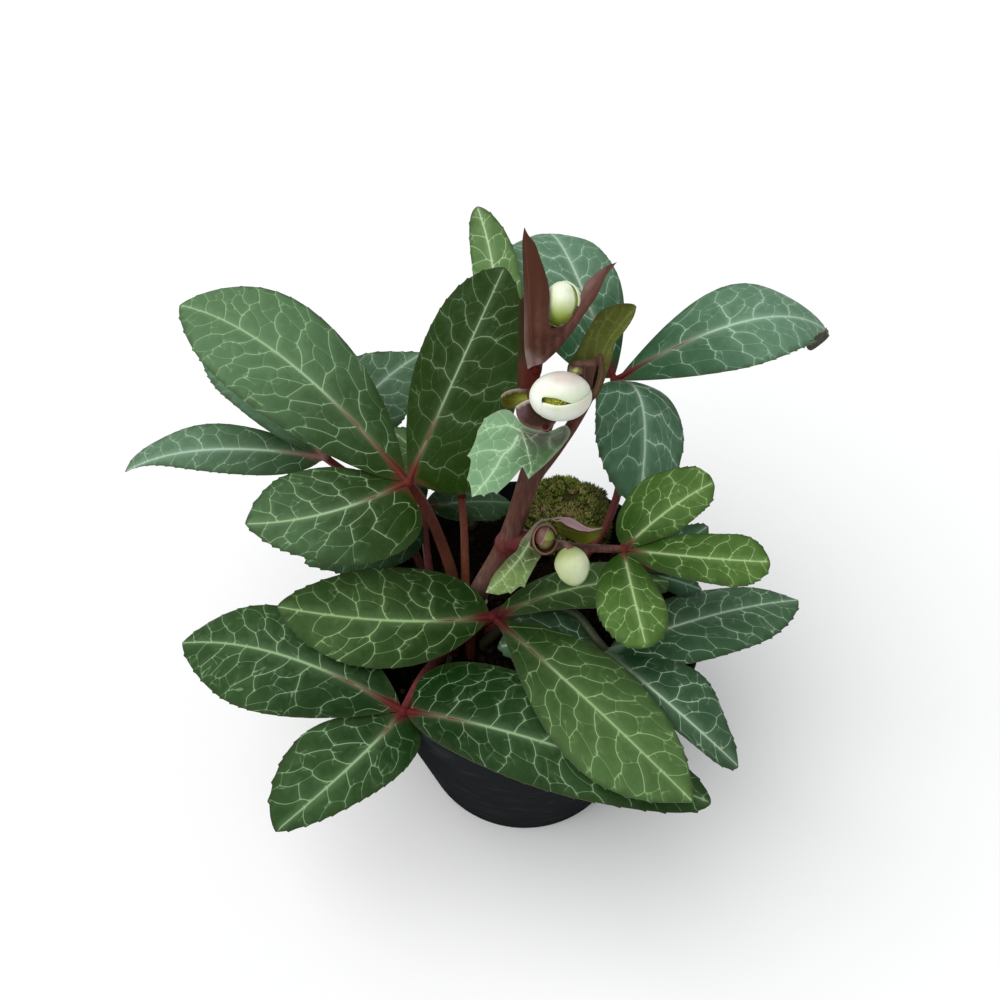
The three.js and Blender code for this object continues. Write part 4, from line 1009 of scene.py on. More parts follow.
TALL_SHEET = dict(
    seed=1, at=(-0.2, 0.6, 222.8), bend=tall_bend, marks=tall_marks, grid=1.6,
    edges=[[(-3.4, 3.3), (-3.7, 8), (-3.7, 15.9), (-4.0, 27.7), (-4.2, 37), (-3.7, 40.8)],
           [(-2.7, 38.9), (-0.6, 36.3), (1.0, 32.1), (2.7, 27.1), (3.6, 23.5), (3.8, 19.5), (3.5, 15.9),
            (3.6, 13.4), (4.3, 11.2)],
           [(6.0, 11.2), (8.0, 12.1), (9.8, 13.9), (11.5, 16.5), (13.1, 21.4), (14.2, 24.2), (16.0, 26.2),
            (19.0, 28.6), (23.7, 30.7)],
           [(20.6, 26.8), (17.6, 20.4), (14.5, 15.9), (10.4, 9.8), (6.0, 4.4), (3.9, 2.4), (2.2, 0.9)],
           [(0.7, 0.5), (-1.1, -0.1), (-2.6, -0.9)]],
    ribs=[([(-1.1, 0.4), (-1.7, 10.6), (-2.3, 22.4), (-3.6, 39.5)], 0.25, 0.5),
          ([(0.8, 1.3), (6.9, 8.3), (13.9, 18.6), (22.2, 29.8)], 0.25, 0.6)])

BACK_SHEET = dict(
    seed=5, at=(-0.2, 4, 219), grid=1.4,
    bend=lambda x, y: 3.8 + 0.55 * np.minimum(y, 0) - 0.07 * (x + 1.5) ** 2,
    marks=lambda x, y, vein, gap: dict(
        tone=0.2, tint=smooth(-1, 6, y), red=0.75 * smooth(3, -2, y) * smooth(-4.5, -2.5, x)),
    edges=[[(-4.9, 20.2), (-5.4, 17.8), (-5.4, 8), (-5.6, -5.7)],
           [(-3.6, -6.0), (-1.5, -5.5), (0.6, -3.0), (1.7, -0.9), (2.0, 2.1)],
           [(0.0, 7.2), (-1.8, 14.8), (-2.7, 20.8), (-3.9, 21.7)]],
    ribs=[([(-2.5, -5), (-3.2, 6), (-4, 19)], 0.2, 0.3)])

OLIVE_SHEET = dict(
    seed=6, at=(18, 3, 216), quilt=0.08, grid=1.8, cell=4.6, vein_scale=0.7,
    bend=lambda x, y: 0.336 * y - 0.6 + 0.16 * np.abs(right_of(x, y, OLIVE_RIB)),
    marks=lambda x, y, vein, gap: dict(
        # The tone rises to the right of the midrib: painted light on the half that faces up to the light.
        tone=0.35 + 0.4 * smooth(-4, 5, right_of(x, y, OLIVE_RIB)) + 0.15 * smooth(22, 10, y),
        tint=0.7 * smooth(9, 1, y)),
    edges=[[(-8.4, 4.2), (-6.0, 7.9), (-3.6, 12.7), (-1.2, 16.9), (1.2, 20.3), (3.7, 21.8), (7.5, 22.8),
            (11.5, 22.6), (12.3, 21.9)],
           [(11.6, 19.2), (9.4, 15.4), (7.3, 12.7), (5.7, 10.6), (5.0, 6.8), (3.6, 2.4), (1.2, -3.9),
            (0.0, -5.7), (-2.1, -7.3)], [(-4.8, -5.1), (-7.2, -1.5), (-8.7, 2.4)]],
    ribs=[([(-2.4, -5.1), (0.3, 2.7), (3.1, 10.3), (7, 16), (11.7, 21.5)], 0.35, 0.9),
          ([(-1.2, -0.3), (0.0, 8.8), (1.2, 14.8), (5.8, 21.6)], 0.25, 0.7),
          ([(-3.0, -3.3), (-3.9, 4.2), (-2.2, 11.4), (0.5, 17.5)], 0.22, 0.6),
          ([(0.3, -0.3), (3.1, 6.3), (4.6, 9.9), (9.7, 17.2)], 0.25, 0.6)])

GREEN_SHEET = dict(
    seed=2, at=(-3.8, -11.2, 206.9), quilt=0.14, thick=0.45, grid=1.7, cell=4.6, vein_scale=0.75,
    bend=lambda x, y: -0.3 * np.maximum(-y, 0) - 0.014 * x * x + 0.15 * np.sin(x * 0.55 + 0.8),
    marks=lambda x, y, vein, gap: dict(
        # The tone falls towards the right lobe: painted shade there. The veins fade on that side as well.
        tone=0.15 + 0.8 * smooth(5, -9, x),
        tint=0.95 * smooth(-8, 0, y) * smooth(-4, 3, x) + 0.5 * smooth(4.5, 7, y),
        vein=vein * (1 - 0.8 * smooth(0, 5, x)),
        red=0.3 * smooth(3.2, 0.5, np.hypot(x - 0.6, y)) * np.exp(-(gap / 0.6) ** 2),
        spine=smooth(0.5, 0.0, np.hypot(x + 0.5, y + 10))),
    edges=[[(-10.9, 4.9), (-12.0, 4.4)],
           [(-12.3, 3.2), (-13.8, 0.9), (-14.4, -1.6), (-16.0, -5.3), (-17.1, -6.8)],
           [(-16.0, -7.6), (-16.2, -10.3), (-17.1, -13.9)], [(-16.3, -14.9), (-15.6, -19.1)],
           [(-14.4, -18.7), (-12.9, -18.3), (-12.0, -19.0)], [(-11.4, -18.3), (-8.9, -17.6), (-8.3, -18.3)],
           [(-7.4, -17.4), (-4.2, -14.4), (-1.7, -11.5), (-0.5, -10.0)], [(0.5, -12.0), (1.3, -13.8)],
           [(2.5, -12.6), (5.7, -10.0), (10.7, -4.8), (13.0, -1.8), (13.9, 0.1)], [(13.5, 1.4), (12.5, 2.5)],
           [(10.7, 1.9), (8.2, 0.8), (5.0, 0.8), (1.3, 1.7), (-0.7, 2.9), (-2.7, 5.2), (-4.2, 6.7),
            (-6.7, 7.0), (-9.9, 5.6)]],
    ribs=[([(-2.0, -1.1), (-4.0, -4.5), (-6.2, -6.3), (-8.7, -10.5), (-12.4, -15.5), (-15.3, -18.7)],
           0.42, 1.0),
          ([(-0.6, -0.3), (0.8, -4.3), (1.4, -7.0), (2.0, -10.0), (1.4, -13.2)], 0.26, 0.8),
          ([(-0.9, 0.6), (-5.2, 2.4), (-8.5, 1.9), (-11.2, 1.2), (-13.1, -0.1)], 0.26, 0.8),
          ([(-4.0, -4.5), (-7.2, -5.3), (-10.9, -5.0), (-13.7, -5.6), (-16.4, -6.6)], 0.3, 0.85),
          ([(0.6, -0.3), (4.0, -4.1), (3.8, -7.0), (3.5, -10.6)], 0.2, 0.55),
          ([(0.6, 0.3), (4.7, -1.2), (8.3, -3.9)], 0.18, 0.45)])

CUP_RIM = [-8, -7.1, -5.4, -3.3, -1.3, 1], [-2.4, -1.5, -0.7, -0.3, -0.3, -0.6]
CUP_SHEET = dict(
    seed=3, at=(-2.6, 2.2, 213.2), grid=0.6,
    bend=lambda x, y: 0.06 * ((x + 3) ** 2 + 1.5 * (y + 3) ** 2),
    marks=lambda x, y, vein, gap: dict(
        # The tone falls to the left and towards the bottom: painted shade, deepest where the cup meets the
        # shaded leaves below.
        tone=0.9 * smooth(-7, 1.0, x) * smooth(-0.5, -3.0, y),
        pale=0.9 * smooth(0.7, 0.15, np.interp(x, *CUP_RIM) - y) * smooth(1.5, -3.0, x)),
    edges=[[(-7.1, -1.5), (-5.4, -0.7), (-3.3, -0.3), (-1.3, -0.3), (1.0, -0.6)],
           [(1.6, -2.7), (0.1, -4.3), (-1.8, -4.4), (-3.4, -5.9), (-4.8, -6.3), (-6.4, -5.9), (-7.6, -4.9),
            (-8.0, -2.4)]],
    ribs=[([(0.7, -2.4), (-3.5, -3.3), (-7.4, -3.2)], 0.25, 0.5)])

DISH_RIM = [-7.1, -5.9, -4.2, -2.3], [6.6, 7.5, 8.4, 8.9]
DISH_SHEET = dict(
    seed=4, at=(0.9, -9.6, 207.2), grid=0.9,
    bend=lambda x, y: 0.05 * (x ** 2 + (y - 5) ** 2) - 1.0,
    marks=lambda x, y, vein, gap: dict(
        # The tone rises to the upper left: a painted highlight on the dish.
        tone=0.15 + 0.85 * smooth(-2.5, -5.5, x) * smooth(1.5, 6, y),
        pale=smooth(0.9, 0.25, np.interp(x, *DISH_RIM) - y) * smooth(-1, -3, x)),
    edges=[[(-5.9, 7.5), (-4.2, 8.4), (-2.3, 8.9), (1.6, 8.6), (4.9, 6.2), (5.2, 2.9), (4.0, 1.1),
            (2.9, -0.2)],
           [(1.9, -0.7), (0.1, -0.4), (-2.7, 0.3), (-4.4, 1.0), (-5.9, 2.4), (-6.7, 3.9), (-7.1, 6.6)]],
    ribs=[([(2.6, 0.5), (-1.4, 3.2), (-4.7, 5.3), (-6.7, 6.3)], 0.2, 0.4)])

SIDE_GREEN_SHEET = dict(
    seed=7, at=(0.2, -9.4, 155.8), quilt=0.12, thick=0.45, grid=1.5, cell=3.6, vein_scale=0.55,
    bend=side_green_bend,
    marks=lambda x, y, vein, gap: dict(
        tone=0.2 + 0.75 * smooth(-5, -15, y), pale=0.6 * smooth(-1.0, 1.5, y),
        tint=0.8 * smooth(0.2, 1.2, right_of(x, y, SIDE_RIB)) * smooth(0, -2, y)
        + 0.7 * smooth(-2.5, 0.5, x) * smooth(-11, -6, y) * smooth(-2.5, -4, y)),
    edges=[[(-15.2, -15.9), (-13.1, -11.8), (-10.9, -9.3), (-8.4, -6.4), (-5.2, -3.5), (-4.1, -0.7),
            (-2.3, 1.6), (-0.6, 3.6), (0.8, 5.4), (2.8, 6.6), (5.1, 7.2), (7.1, 7.3)],
           [(5.2, 6.6), (3.2, 6.1), (1.8, 5.0), (0.6, 3.1), (-0.4, 1.1), (-0.8, -0.7), (-0.7, -2.4),
            (0.5, -3.2), (2.0, -3.4)],
           [(3.1, -5.3), (1.7, -7.5), (0.5, -9.8), (-0.6, -11.8), (-1.8, -14.1), (-2.8, -16.6)],
           [(-4.1, -16.1), (-5.8, -17.2), (-7.5, -18.7)], [(-8.1, -18.2), (-9.8, -18.6), (-11.8, -19.1)],
           [(-13.8, -18.7), (-16.1, -18.3)]],
    ribs=[([(-0.2, 0.5), (-1.5, -1.8), (-4.4, -6.4), (-7.2, -9.8), (-10.4, -13.3), (-15.8, -18.1)], 0.4, 0.9),
          ([(-10.4, -13.5), (-9.9, -14.4), (-7.8, -18.2)], 0.2, 0.6),
          ([(-4.2, -6.4), (-3.8, -7.6), (-1.9, -11.6)], 0.2, 0.6)])

LILAC_SHEET = dict(
    seed=8, at=(4.4, -8.3, 158), thick=0.45, grid=1.3,
    bend=lambda x, y: 3.2 + 0.3 * x - 0.8 * np.maximum(y - 3.4 + 0.012 * (x - 4) ** 2, 0),
    marks=lambda x, y, vein, gap: dict(tone=0.5 + 0.4 * smooth(16, 8, x)),
    edges=[[(4.0, 5.3), (6.3, 5.4), (8.9, 5.1), (11.4, 3.8), (14.0, 2.2), (16.6, 1.5), (20.0, 1.8)],
           [(17.7, 1.0), (15.1, 0.4)],
           [(11.7, 0.8), (9.4, 1.7), (7.1, 2.8), (5.4, 4.0), (3.7, 3.9), (2.0, 4.8)]],
    ribs=[([(4, 4.8), (9, 3.4), (13, 1.6), (18, 1.4)], 0.2, 0.4)])

UNDER_SHEET = dict(
    seed=9, at=(4.4, -8.3, 158), quilt=0.06, thick=0.4, grid=1.5,
    bend=lambda x, y: 2.2 + 0.28 * x - 0.3 * (5 - y) + 0.8 * np.sin(x * 0.55),
    marks=lambda x, y, vein, gap: dict(
        tint=1.0, edge=0.0,
        tone=0.05 + 0.5 * smooth(6.5, 4.5, x) + 0.4 * smooth(13, 16, x) * smooth(20, 18, x)),
    edges=[[(4.0, 2.3), (4.6, 0.6), (5.2, -0.4), (7.7, -1.5), (11.1, -3.4), (13.4, -3.8), (15.7, -3.2),
            (18.7, -1.4)], [(19.4, 0.8), (19.9, 1.6)],
           [(17.5, 2.1), (13.1, 3.2), (9.3, 4.4), (5.9, 4.8), (3.6, 4.7)]],
    ribs=[([(5, 2), (10, 0.5), (18, -0.6)], 0.2, 0.4)])

HOOD_FRONT_SHEET = dict(
    seed=10, at=(11, 3, 215.5), grid=1.2,
    bend=lambda x, y: 4.6 + 0.35 * y - 0.07 * ((x - 2.5) ** 2 + 0.6 * (y - 0.5) ** 2),
    marks=lambda x, y, vein, gap: dict(
        # The band along the top edge is much lighter in tone: painted light on the top ridge.
        tone=0.3 + 0.2 * smooth(4, 7, x) + 1.2 * smooth(4.4, 5.8, y) * smooth(-0.5, 1.5, x),
        pale=smooth(1.5, 0.3, np.hypot(0.7 * (x - 0.4), y - 2.4 - 0.45 * x))),
    edges=[[(-1.1, 4.6), (-0.2, 5.5), (1.6, 6.1), (4.0, 6.0), (5.8, 6.6), (7.4, 7.5)],
           [(7.7, 5.5), (7.1, 3.1), (6.4, 0.7), (6.1, -1.7), (5.5, -4.4)],
           [(3.1, -3.5), (-0.2, -0.5), (-1.6, 3.1)]],
    ribs=[([(4.5, -3), (3.5, 2), (4, 5.5)], 0.2, 0.4)])

HOOD_BACK_SHEET = dict(
    seed=11, at=(14.5, 4, 216), grid=1.2,
    bend=lambda x, y: 4.8 + 0.3 * y - 0.12 * (x - 3) ** 2,
    marks=lambda x, y, vein, gap: dict(tone=0.6, tint=0.8),
    edges=[[(5.1, 7.3), (6.2, 4.5), (6.2, 1.5), (5.6, -1.5), (4.5, -4.5), (3.0, -7.0)],
           [(1.2, -6.4), (2.7, -3.9), (4.1, -0.3), (4.5, 3.3), (3.9, 6.5)]],
    ribs=[([(3.5, -5), (5.2, 1), (5, 6)], 0.2, 0.4)])

BRACTS = {
    "bract_purple_tall": dict(
        hub=(-0.2, 1.8, 220.5), ball=1.6, slot="bract_purple", sheets=[TALL_SHEET, BACK_SHEET], look=dict(
            dark=(0.055, 0.018, 0.009), light=(0.13, 0.058, 0.045), vein=(0.15, 0.07, 0.065),
            under=(0.05, 0.025, 0.012), margin=(0.045, 0.02, 0.014), vein_gain=0.4,
            tint=(0.035, 0.034, 0.002), pale=(0.38, 0.26, 0.24), red=(0.07, 0.007, 0.007))),
    "bract_olive": dict(
        hub=(16.5, 1, 211), ball=1.5, slot="bract_olive", sheets=[OLIVE_SHEET], look=dict(
            dark=(0.034, 0.037, 0.004), light=(0.135, 0.16, 0.035), vein=(0.17, 0.21, 0.05),
            under=(0.1, 0.08, 0.03), margin=(0.06, 0.06, 0.02), vein_gain=0.7, tint=(0.14, 0.09, 0.04))),
    "bract_purple_low": dict(
        hub=(2.8, -9.1, 206.8), ball=1.35, slot="bract_purple", sheets=[DISH_SHEET], look=dict(
            dark=(0.035, 0.017, 0.01), light=(0.14, 0.085, 0.09), vein=(0.1, 0.06, 0.05),
            under=(0.12, 0.07, 0.06), margin=(0.2, 0.11, 0.09), vein_gain=0.2, pale=(0.62, 0.58, 0.48),
            red=(0.05, 0.005, 0.008))),
    "bract_green_low": dict(
        hub=(-1.5, -12.2, 203.5), ball=0.9, slot="bract_green", sheets=[GREEN_SHEET], look=dict(
            dark=(0.06, 0.12, 0.045), light=(0.17, 0.31, 0.16), vein=(0.46, 0.66, 0.42), vein_gain=0.8,
            under=(0.16, 0.22, 0.12), margin=(0.25, 0.36, 0.22), glow=0.6, tint=(0.15, 0.125, 0.115))),
    "bract_olive_small": dict(
        hub=(-2.0, 2.2, 211.5), ball=1.2, slot="bract_olive", sheets=[CUP_SHEET], look=dict(
            dark=(0.05, 0.048, 0.002), light=(0.24, 0.26, 0.04), vein=(0.16, 0.17, 0.03),
            under=(0.12, 0.11, 0.03), margin=(0.07, 0.06, 0.02), vein_gain=0.3, pale=(0.5, 0.4, 0.34))),
    "bract_side_green": dict(
        hub=(0.6, -9.4, 155.0), ball=1.4, slot="bract_green", sheets=[SIDE_GREEN_SHEET], look=dict(
            dark=(0.04, 0.065, 0.015), light=(0.15, 0.23, 0.07), vein=(0.37, 0.48, 0.26), vein_gain=0.8,
            under=(0.16, 0.2, 0.06), margin=(0.15, 0.18, 0.09), glow=0.6, tint=(0.07, 0.08, 0.01),
            pale=(0.28, 0.24, 0.2))),
    "bract_side_purple": dict(
        hub=(4.6, -8.3, 157.5), ball=1.4, slot="bract_purple", sheets=[LILAC_SHEET, UNDER_SHEET], look=dict(
            dark=(0.15, 0.08, 0.085), light=(0.3, 0.19, 0.21), vein=(0.34, 0.24, 0.25),
            under=(0.12, 0.11, 0.03), margin=(0.36, 0.25, 0.24), vein_gain=0.2, tint=(0.13, 0.14, 0.012))),
}


def make_bract(name, bract):
    """A bract of one or two sheets, with the small swelling that holds it."""
    shell = Shell()
    for spec in bract["sheets"]:
        sheet(shell, spec)
    ball(shell, bract["hub"], (0, 0, 1), (bract["ball"],) * 3, red=1.0)
    shell.make(name, leaf_material(name, **bract["look"]), bract["slot"])


def make_hood():
    """Two curled flaps with a dark lump between them, which paints the shade in the gap."""
    shell = Shell()
    # The dark lump between the flaps is painted shade.
    ball(shell, (18.0, 4.1, 217.6), (0.1, 0.73, 0.68), (1.9, 1.6, 5.2), 16, 20, tone=-1.0)
    sheet(shell, HOOD_FRONT_SHEET)
    sheet(shell, HOOD_BACK_SHEET)
    material = leaf_material("bract_hood", (0.02, 0.008, 0.005), (0.15, 0.08, 0.058), (0.2, 0.12, 0.1),
                             tint=(0.12, 0.07, 0.03), margin=(0.07, 0.035, 0.025), pale=(0.6, 0.6, 0.24))
    shell.make("bract_hood", material, "bract_purple")


# ------------------------------------------------------------------ buds
def bud_axes(bud):
    """Right, up and facing directions of a bud; it faces up and to the front of the plant."""
    up = unit(arr(bud.get("up", UP)))
    face = unit(FACE - up * np.dot(FACE, up))
    return np.stack([np.cross(up, face), up, face])


def on_ball(p):
    """A point of the unit ball from (right, up) on its front, or from three components."""
    return unit(arr(p)) if len(p) == 3 else arr((p[0], p[1], math.sqrt(max(0.0, 1 - p[0] ** 2 - p[1] ** 2))))


def petal(shell, bud, margin, sweep, base, out=0.05, thick=0.1, rows=26, columns=40, lip=0.0, **values):
    """A sepal lying on the bud's egg, from its free margin over `sweep` to its base.

    A point value is a number, or a function of v from 0 at the margin to 1 at the base, of h from -1 to 1
    along the margin, and of the place q on the unit ball."""
    edge, middle, end = (unit(curve_points([on_ball(p) for p in path], columns))
                         for path in (margin, sweep, base))
    v = np.linspace(0, 1, rows + 1)[:, None, None]
    q = unit(edge * (1 - v) ** 2 + middle * 2 * v * (1 - v) + end * v * v).reshape(-1, 3)
    v = np.repeat(v[:, 0, 0], columns + 1)
    h = np.tile(np.linspace(-1, 1, columns + 1), rows + 1)
    inward = np.minimum(1, np.minimum((1 - np.abs(h)) / 0.08, np.minimum(v, 1 - v) / 0.06))
    half_thick = thick / 2 * np.sqrt(np.clip(1 - (1 - inward) ** 2, 0, 1))
    height = 1 + out - thick / 2 + lip * (1 - smooth(0.0, 0.25, v)) * smooth(1.0, 0.7, np.abs(h))
    axes = bud_axes(bud) * arr(bud["half"])[:, None]
    pinch = 1 - bud.get("point", 0) * smooth(0.2, -1.0, q[:, 1])
    shape = q * np.stack([pinch, np.ones_like(pinch), pinch], 1)
    verts = np.concatenate([arr(bud["centre"]) + (shape * (height + side * half_thick)[:, None]) @ axes
                            for side in (1, -1)])
    grid = np.arange(len(q)).reshape(rows + 1, columns + 1)
    layer, wide = grid.size, columns + 1
    faces = []
    for k in grid[:-1, :-1].ravel():
        faces.append((k, k + 1, k + wide + 1, k + wide))
        faces.append((k + layer, k + layer + wide, k + layer + wide + 1, k + layer + 1))
    border = [*grid[0, :-1], *grid[:-1, -1], *grid[-1, :0:-1], *grid[:0:-1, 0]]
    faces += [(b, a, a + layer, b + layer) for a, b in zip(border, border[1:] + border[:1])]
    centre = grid[rows // 2, columns // 2]
    normal = np.cross(verts[centre + 1] - verts[centre], verts[centre + wide] - verts[centre])
    if np.dot(normal, verts[centre] - arr(bud["centre"])) < 0:
        faces = [face[::-1] for face in faces]
    v, h, q = np.tile(v, 2), np.tile(h, 2), np.tile(q, (2, 1))
    values = {key: value(v, h, q) if callable(value) else value for key, value in values.items()}
    shell.add(verts, faces, **values)


def make_main_bud():
    shell = Shell()
    ball(shell, (7.8, 1.8, 211.2), HEART_AXIS, (3.0, 3.0, 1.7), green=0.8)
    petal(shell, MAIN_BUD,
          [(-0.64, -0.33), (-0.4, -0.42), (-0.14, -0.48), (0.1, -0.46), (0.37, -0.37), (0.63, -0.2),
           (0.83, 0.02), (0.94, 0.3)],
          [(-0.6, -0.8, 0.1), (0.1, -0.95, 0.1), (0.95, -0.2, -0.3)],
          [(-0.3, -0.4, -0.87), (0.3, -0.1, -0.95)],
          out=0.03, lip=0.02, pink=lambda v, h, q: 0.3 * smooth(0.2, 0.9, q[:, 0]),
          green=lambda v, h, q: 0.35 * smooth(0.3, 0.0, v) + 0.5 * smooth(0.1, -0.9, q[:, 2]))
    petal(shell, MAIN_BUD,
          [(-0.5, -0.86), (-0.62, -0.7), (-0.64, -0.45), (-0.64, -0.16), (-0.4, -0.17), (-0.14, -0.23),
           (0.1, -0.34), (0.36, -0.4), (0.62, -0.25), (0.82, -0.02), (0.93, 0.28)],
          [(-0.8, -0.55, -0.1), (-0.85, 0.3, 0.2), (-0.2, 0.9, 0.2), (0.8, 0.6, 0.0)],
          [(-0.4, -0.3, -0.87), (-0.3, 0.3, -0.9), (0.3, 0.2, -0.93)], out=0.035, thick=0.085, columns=64,
          green=lambda v, h, q: 0.5 * smooth(0.3, 0.03, v) * smooth(-0.5, 0.0, h)
          + 0.4 * smooth(0.1, -0.9, q[:, 2]),
          pink=lambda v, h, q: 0.5 * smooth(0.15, 0.5, q[:, 1]) * smooth(-0.5, -0.1, q[:, 0])
          * smooth(0.75, 0.4, q[:, 0]))
    petal(shell, MAIN_BUD, [(0.4, 0.5), (0.75, 0.45), (0.93, 0.1), (0.9, -0.3)],
          [(0.8, 0.6, -0.2), (0.9, -0.3, -0.3)], [(0.3, 0.3, -0.9), (0.3, -0.3, -0.9)], out=-0.06, green=0.4)
    material = sepal_material("sepal_white", (0.86, 0.88, 0.79), (0.52, 0.66, 0.32))
    shell.make("bud_main_sepals", material, "sepal_white", 60)


def make_heart():
    """The grainy heart of the main bud, seen in its slit."""
    shell = Shell()
    rng = np.random.default_rng(7)
    axis, centre, half = unit(arr(HEART_AXIS)), arr(MAIN_BUD["centre"]), arr(HEART_HALF)
    ball(shell, centre, axis, half * 0.8, 24, 32, heart=0.55)
    for _ in range(HEART_GRAINS):
        out = unit(axis + rng.normal(0, 0.42, 3))
        at = centre + out * half.mean() * (0.78 + 0.05 * rng.random())
        ball(shell, at, out, (0.4, 0.4, 0.6), 6, 8, heart=0.2 + 0.6 * rng.random())
    material = sepal_material("flower_heart", (0.62, 0.62, 0.08), (0.4, 0.45, 0.05))
    shell.make("bud_main_heart", material, "flower_heart")


def upper_green(v, h, q):
    return np.clip(1.0 * smooth(0.4, -0.75, q[:, 1]) + 0.3 * smooth(0.05, 0.0, v), 0, 1)


def lower_green(v, h, q):
    green = 0.9 * smooth(0.3, 0.9, q[:, 1]) + 0.5 * smooth(0.5, -0.5, q[:, 0]) + 0.9 * smooth(0.06, 0.02, v)
    return np.clip(green, 0, 1)


def make_closed_bud(node, bud, sepals, material):
    shell = Shell()
    half = bud["half"]
    ball(shell, bud["centre"], bud["up"], (0.86 * half[0], 0.86 * half[2], 0.93 * half[1]), 28, 36, green=0.6)
    for sepal in sepals:
        petal(shell, bud, **sepal)
    shell.make(node, material, "bud_green", 60)


UPPER_SEPALS = [
    dict(margin=[(-0.4, 0.9, -0.1), (0.05, 0.92), (0.3, 0.83), (0.46, 0.66), (0.56, 0.42), (0.62, 0.1),
                 (0.56, -0.4), (0.4, -0.85)],
         sweep=[(-0.9, 0.4, 0.0), (-0.8, -0.6, 0.2)], base=[(-0.6, 0.1, -0.8), (-0.1, -0.9, -0.4)],
         out=0.08, lip=0.02, green=upper_green),
    dict(margin=[(-0.1, 0.95, 0.0), (0.2, 0.9), (0.5, 0.72), (0.68, 0.42), (0.74, 0.0), (0.6, -0.6)],
         sweep=[(0.5, 0.85, -0.2), (0.97, 0.1, -0.1)], base=[(0.0, 0.4, -0.92), (0.4, -0.6, -0.7)], out=0.13,
         green=upper_green),
    dict(margin=[(-0.25, 0.93, 0.1), (0.1, 0.7), (0.3, 0.3), (0.4, -0.3), (0.2, -0.8)],
         sweep=[(0.5, 0.85, -0.2), (0.9, -0.4, 0.0)], base=[(0.0, 0.4, -0.92), (0.4, -0.6, -0.7)], out=0.0,
         green=0.9),
]

LOWER_SEPALS = [
    dict(margin=[(-0.95, 0.1, 0.3), (-0.88, -0.25), (-0.66, -0.6), (-0.26, -0.83), (0.12, -0.88),
                 (0.45, -0.76), (0.72, -0.48), (0.84, -0.1), (0.85, 0.3), (0.6, 0.78)],
         sweep=[(-0.9, 0.4, 0.0), (-0.5, 0.85, 0.2), (0.3, 0.95, 0.0)],
         base=[(-0.6, 0.3, -0.7), (0.0, 0.7, -0.7)],
         out=0.07, lip=0.02, columns=56, green=lower_green, brown=lambda v, h, q: 0.6 * smooth(0.07, 0.01, v)),
    dict(margin=[(-0.9, 0.0, 0.3), (-0.3, -0.1), (0.4, 0.0), (0.6, 0.4), (0.5, 0.7)],
         sweep=[(-0.9, -0.5, 0.0), (0.1, -0.98, 0.2), (0.95, 0.2, 0.0)],
         base=[(-0.4, -0.3, -0.85), (0.4, 0.0, -0.9)],
         out=0.02, green=lower_green),
]


def make_small_bud():
    """The bowl of the side cluster, with a small bud half red-brown and half green in it."""
    shell = Shell()
    brim = [(0.88 * math.cos(t), 0.88 * math.sin(t)) for t in np.linspace(0.3, 2 * math.pi - 0.1, 12)]
    petal(shell, SMALL_BUD, brim, [(0.95, 0.2, -0.25), (-0.95, 0.0, -0.25), (0.95, -0.1, -0.25)],
          [(0.1, 0.05, -1), (-0.1, 0.0, -1), (0.1, -0.05, -1)],
          out=0.0, thick=0.08, rows=16, columns=48, brown=lambda v, h, q: smooth(0.02, 0.07, v) * 0.85,
          green=0.3, pink=lambda v, h, q: 0.5 * smooth(0.07, 0.02, v))
    core = dict(centre=SMALL_BUD["centre"] + 0.6 * UP - 0.9 * FACE, half=(3.3, 4.3, 3.4))
    ball(shell, core["centre"], UP, (3.0, 3.0, 3.9), brown=1.0)
    petal(shell, core, [(0.5, 0.86), (0.25, 0.5), (-0.05, 0.0), (-0.42, -0.56), (-0.66, -0.5), (-0.9, -0.3)],
          [(-0.2, 0.9, 0.3), (-0.8, 0.4, 0.4), (-0.95, 0.1, 0.0)], [(-0.5, 0.5, -0.7), (-0.6, 0.0, -0.8)],
          out=0.1, brown=lambda v, h, q: (0.8 + 0.15 * np.sin(9 * h)) * smooth(0.02, 0.08, v),
          pink=lambda v, h, q: smooth(0.1, 0.02, v))
    petal(shell, core, [(-0.4, 0.1), (-0.2, -0.2), (0.3, -0.25), (0.9, -0.15)],
          [(0.0, 0.7, 0.6), (0.9, 0.4, 0.2)], [(0.3, 0.8, -0.5), (0.8, 0.3, -0.5)], out=0.04,
          green=1.0, brown=lambda v, h, q: 0.9 * smooth(0.3, 0.7, q[:, 1]))
    petal(shell, core, [(-0.85, -0.3), (-0.3, -0.1), (0.3, -0.1), (0.95, 0.0)],
          [(-0.5, -0.8, 0.3), (0.6, -0.75, 0.3)], [(-0.3, -0.7, -0.6), (0.4, -0.6, -0.7)], out=0.0,
          green=1.0, brown=0.6)
    material = sepal_material("bract_cup", (0.16, 0.07, 0.045), (0.22, 0.25, 0.05), (0.36, 0.2, 0.22))
    shell.make("bud_small", material, "bract_purple", 60)


# ------------------------------------------------------------------ shoot and moss
def make_shoot():
    shell = Shell()
    tube(shell, [(*SHOOT, z) for z in np.linspace(SOIL_Z - HOLE_DEPTH, 97, 8)], (1.1, 1.1), 14, pink=1.0)
    ball(shell, (*SHOOT, 97), (0, 0, 1), (1.6, 1.6, 1.9), pink=0.6)
    shell.make("crown_shoot", sepal_material("shoot_pink", (0.7, 0.55, 0.5), (0.5, 0.4, 0.3)), "shoot_pink")


